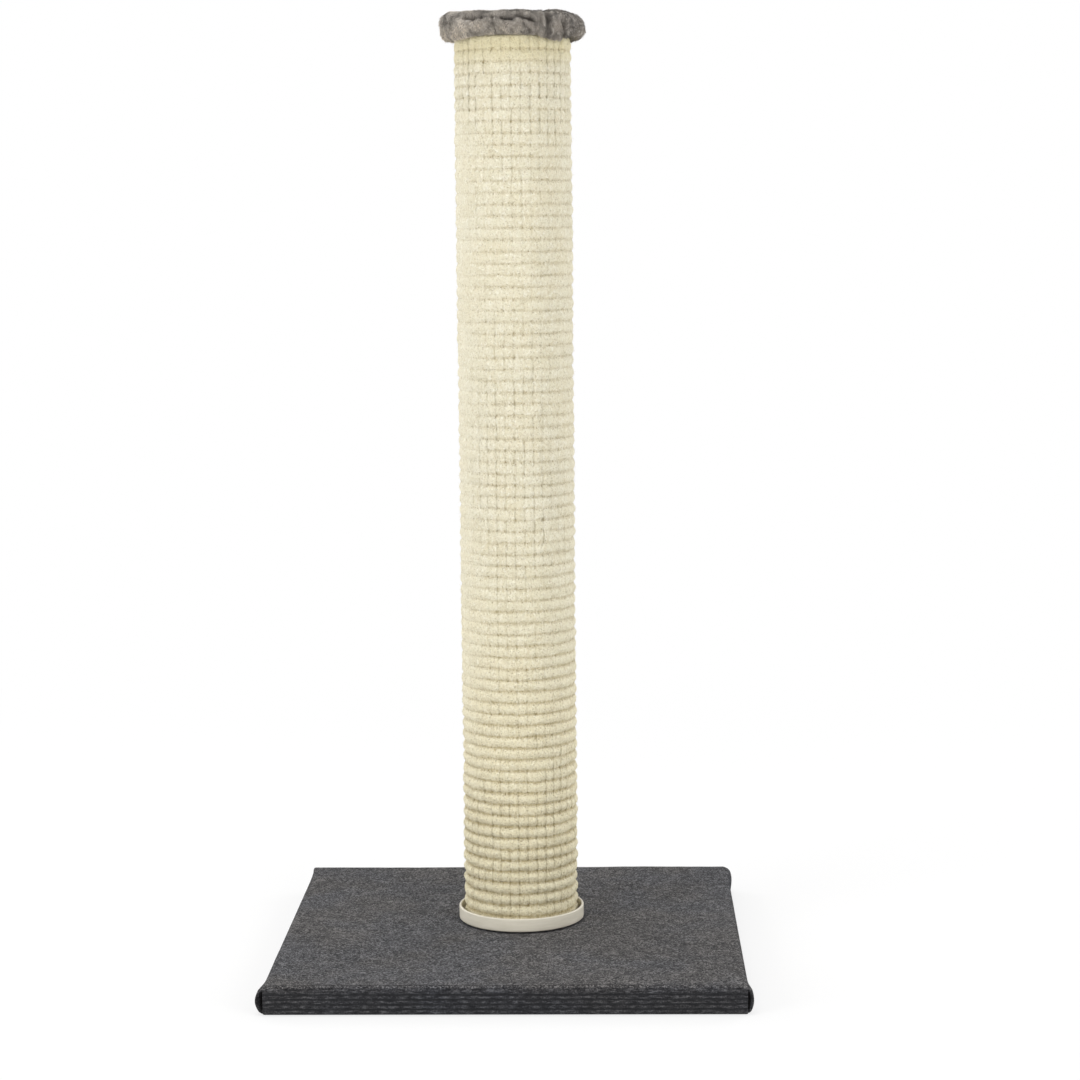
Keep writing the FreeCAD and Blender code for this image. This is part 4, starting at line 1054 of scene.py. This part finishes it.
# %% Planting the pile
def plush(name, count, weight, seed):
    """Strands over the cover where weight is high, lying down its rim. On the flat top
    they are all combed one way."""
    pick = np.random.default_rng(seed)
    odds = (patch_area * weight).ravel()
    chosen = pick.choice(odds.size, count, p=odds / odds.sum())
    i, j = np.divmod(chosen, around_count)
    n, crease, along_u, along_v = normal[i, j], crease_mask[i, j], du[i, j], dv[i, j]
    roots = (cap_points[i, j] + (pick.random((count, 1)) - 0.5) * along_u / 2
             + (pick.random((count, 1)) - 0.5) * along_v)
    down = along_v / (np.linalg.norm(along_v, axis=1, keepdims=True) + 1e-12)
    beside = np.cross(n, down)
    swirl = drift(turn_deg[0, j] / 9, cap_z[i, j] / (6 * MM), seed)[:, None] * 0.9
    swirl = swirl + pick.normal(0, 0.1, (count, 1))
    lift = 0.34 + 0.1 * pick.normal(0, 1, (count, 1))
    flat_top = 1 - ease(r_mm[i, j], 25, 48)[:, None]
    combed = down * 0.6 * (1 - flat_top) + np.array([0.3, -0.55, 0]) * flat_top
    ways = n * lift + combed + beside * swirl * (1 - 0.6 * flat_top)
    bends = (n * 0.12 + combed * 1.35 + beside * swirl * (1.2 - 0.8 * flat_top)
             + np.array([0, 0, -0.25]))
    lengths = pick.uniform(2.4, 4.0, count) * (1 - 0.55 * crease) * MM
    lengths *= 1 - 0.35 * ease(805 - z_mm[i, j], 0, 2) * (np.cos(turn[0, j]) > 0)
    return strands(name, roots - n * 0.2 * MM, ways, bends, lengths, 0.4 * MM, pile_finish,
                   "plush", seed, sunk=crease)


near_edge = (stations[:, None] > stations[-1] - 12.5 * MM) & (cap_r > 50.8 * MM)
side_weight = ease(r_mm, 44, 56) * (0.4 + 0.6 * (np.cos(turn) > -0.2)) * (1 - 0.6 * crease_mask)
plush("plush_pile_side", 21500, np.where(near_edge, 1.5, side_weight), 51)
plush("plush_pile_top", 15000, 1.02 - ease(r_mm, 50, 58), 52)

# %% [markdown]
# ## What the covers hide
#
# Under the plush lies a foam pad on a wooden disc. At the foot the board, the tube and
# the plugs are plain wood and card, and the bolts, nuts and staples are zinc-plated
# steel. They are seen only from below or when the post is taken apart, and they still
# get finishes of their own: pressed chips, turned grain, wound paper and worn zinc.

# %% Foam pad
pad_low, pad_high = (np.array(corner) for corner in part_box("cap_pad"))
pad_r = (pad_high[0] - pad_low[0]) / 2
small, large, hole = 1 * MM, 2.2 * MM, 0.3 * MM
pad_profile = [(hole, pad_low[2]),
               *corner_round((pad_r - small, pad_low[2] + small), small, -90, 0),
               *corner_round((pad_r - large, pad_high[2] - large), large, 0, 90),
               (hole, pad_high[2])]
pad_points, pad_quads = turned(pad_profile, 96)
foam = Finish("open_foam")
pores = foam.cells(foam.place(), 900)
foam_colour = foam.blend(pores.ramp(0.1, 0.6), (0.80, 0.77, 0.66), (0.55, 0.5, 0.38))
foam_finish = foam.surface(Base_Color=foam_colour, Roughness=0.95,
                           Normal=foam.bump(pores, 0.0006, 0.8))
pad = piece("foam_pad", pad_points, [pad_quads], foam_finish, "foam")
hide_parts("cap_pad")

# %% Pressed wood, for the board
chips = Finish("pressed_chips")
tone = chips.part(chips.cells(chips.place((1, 1, 2.5)), 260, outlet="Color"), "X")
fine = chips.noise(chips.place((1, 4, 1)), 500, 3)
shade = chips.stops(tone, (0.0, (0.30, 0.185, 0.085)), (0.5, (0.50, 0.35, 0.19)),
                    (1.0, (0.66, 0.51, 0.31)))
shade = chips.blend(fine.ramp(0.3, 0.5, 1, 0) * 0.4, shade, (0.24, 0.145, 0.065))
board_finish = chips.surface(Base_Color=shade, Roughness=0.8,
                             Normal=chips.bump(tone * 0.5 + fine * 0.5, 0.0003, 0.6))

# %% Turned softwood, for the plugs and the disc
wood = Finish("turned_softwood")
where = wood.place((1, 1, 0.3))
bent = wood.noise(where, 18, 2)
growth = wood.node("ShaderNodeTexWave", {"wave_type": "BANDS", "bands_direction": "X"},
                   {"Vector": where, "Scale": 55, "Distortion": 5, "Detail": 3})
fine = wood.noise(wood.place((1, 14, 1)), 300, 2)
shade = wood.blend(growth * 0.6 + bent * 0.2, (0.66, 0.49, 0.29), (0.46, 0.29, 0.14))
shade = wood.blend(fine.ramp(0.3, 0.45, 1, 0) * 0.3, shade, (0.33, 0.2, 0.1))
wood_finish = wood.surface(Base_Color=shade, Roughness=0.65, Normal=wood.bump(fine, 0.0002, 0.5))

# %% Wound card, for the tube
card = Finish("wound_card")
where = card.place()
flecks = card.noise(card.place((1, 1, 0.4)), 700, 3, 0.7)
clouds = card.noise(where, 40, 2)
windings = (card.part(where, "Z") + card.part(where, "X") * 0.35) * 28
ply = windings.math("FRACT").ramp(0.0, 0.03, 1, 0)
shade = card.blend(clouds.ramp(0.3, 0.7), (0.40, 0.285, 0.175), (0.47, 0.345, 0.22))
shade = card.blend(flecks.ramp(0.3, 0.5, 1, 0) * 0.4, shade, (0.27, 0.185, 0.105))
shade = card.blend(ply * 0.5, shade, (0.22, 0.145, 0.08))
card_finish = card.surface(Base_Color=shade, Roughness=0.85,
                           Normal=card.bump(flecks * 0.5 + ply * 0.5, 0.0002, 0.5))

# %% Plated steel, for bolts, nuts and staples
def plated_steel(name, tint, dull):
    """Zinc plate with cloudy patches and fine scratches, as rough as dull."""
    zinc = Finish(name)
    clouds = zinc.noise(zinc.place(), 260, 4, 0.7)
    scratches = zinc.noise(zinc.place((1, 9, 1)), 900, 2, 0.6)
    shade = zinc.blend(clouds.ramp(0.3, 0.7), tint, tuple(c * 0.78 for c in tint))
    return zinc.surface(Base_Color=shade, Metallic=1.0,
                        Roughness=clouds.ramp(0.2, 0.8, dull - 0.08, dull + 0.12),
                        Normal=zinc.bump(scratches, 0.00008, 0.5))


wearers = {board_finish: ["base_board"], wood_finish: ["foot_plug", "head_plug", "cap_disc"],
           card_finish: ["post_tube"],
           plated_steel("zinc_plate", (0.62, 0.63, 0.64), 0.34): [
               "foot_bolt", "foot_washer", "foot_tee_nut", "head_tee_nut", "cap_bolt"],
           plated_steel("staple_wire", (0.56, 0.56, 0.55), 0.28): [
               "base_staples", "foot_plug_staples", "head_plug_staples", "cap_staples"]}
for finish, solids in wearers.items():
    for solid in solids:
        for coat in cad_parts[solid].material_slots:
            coat.material = finish
print("new finishes on", sum(len(solids) for solids in wearers.values()), "solids of the frame")
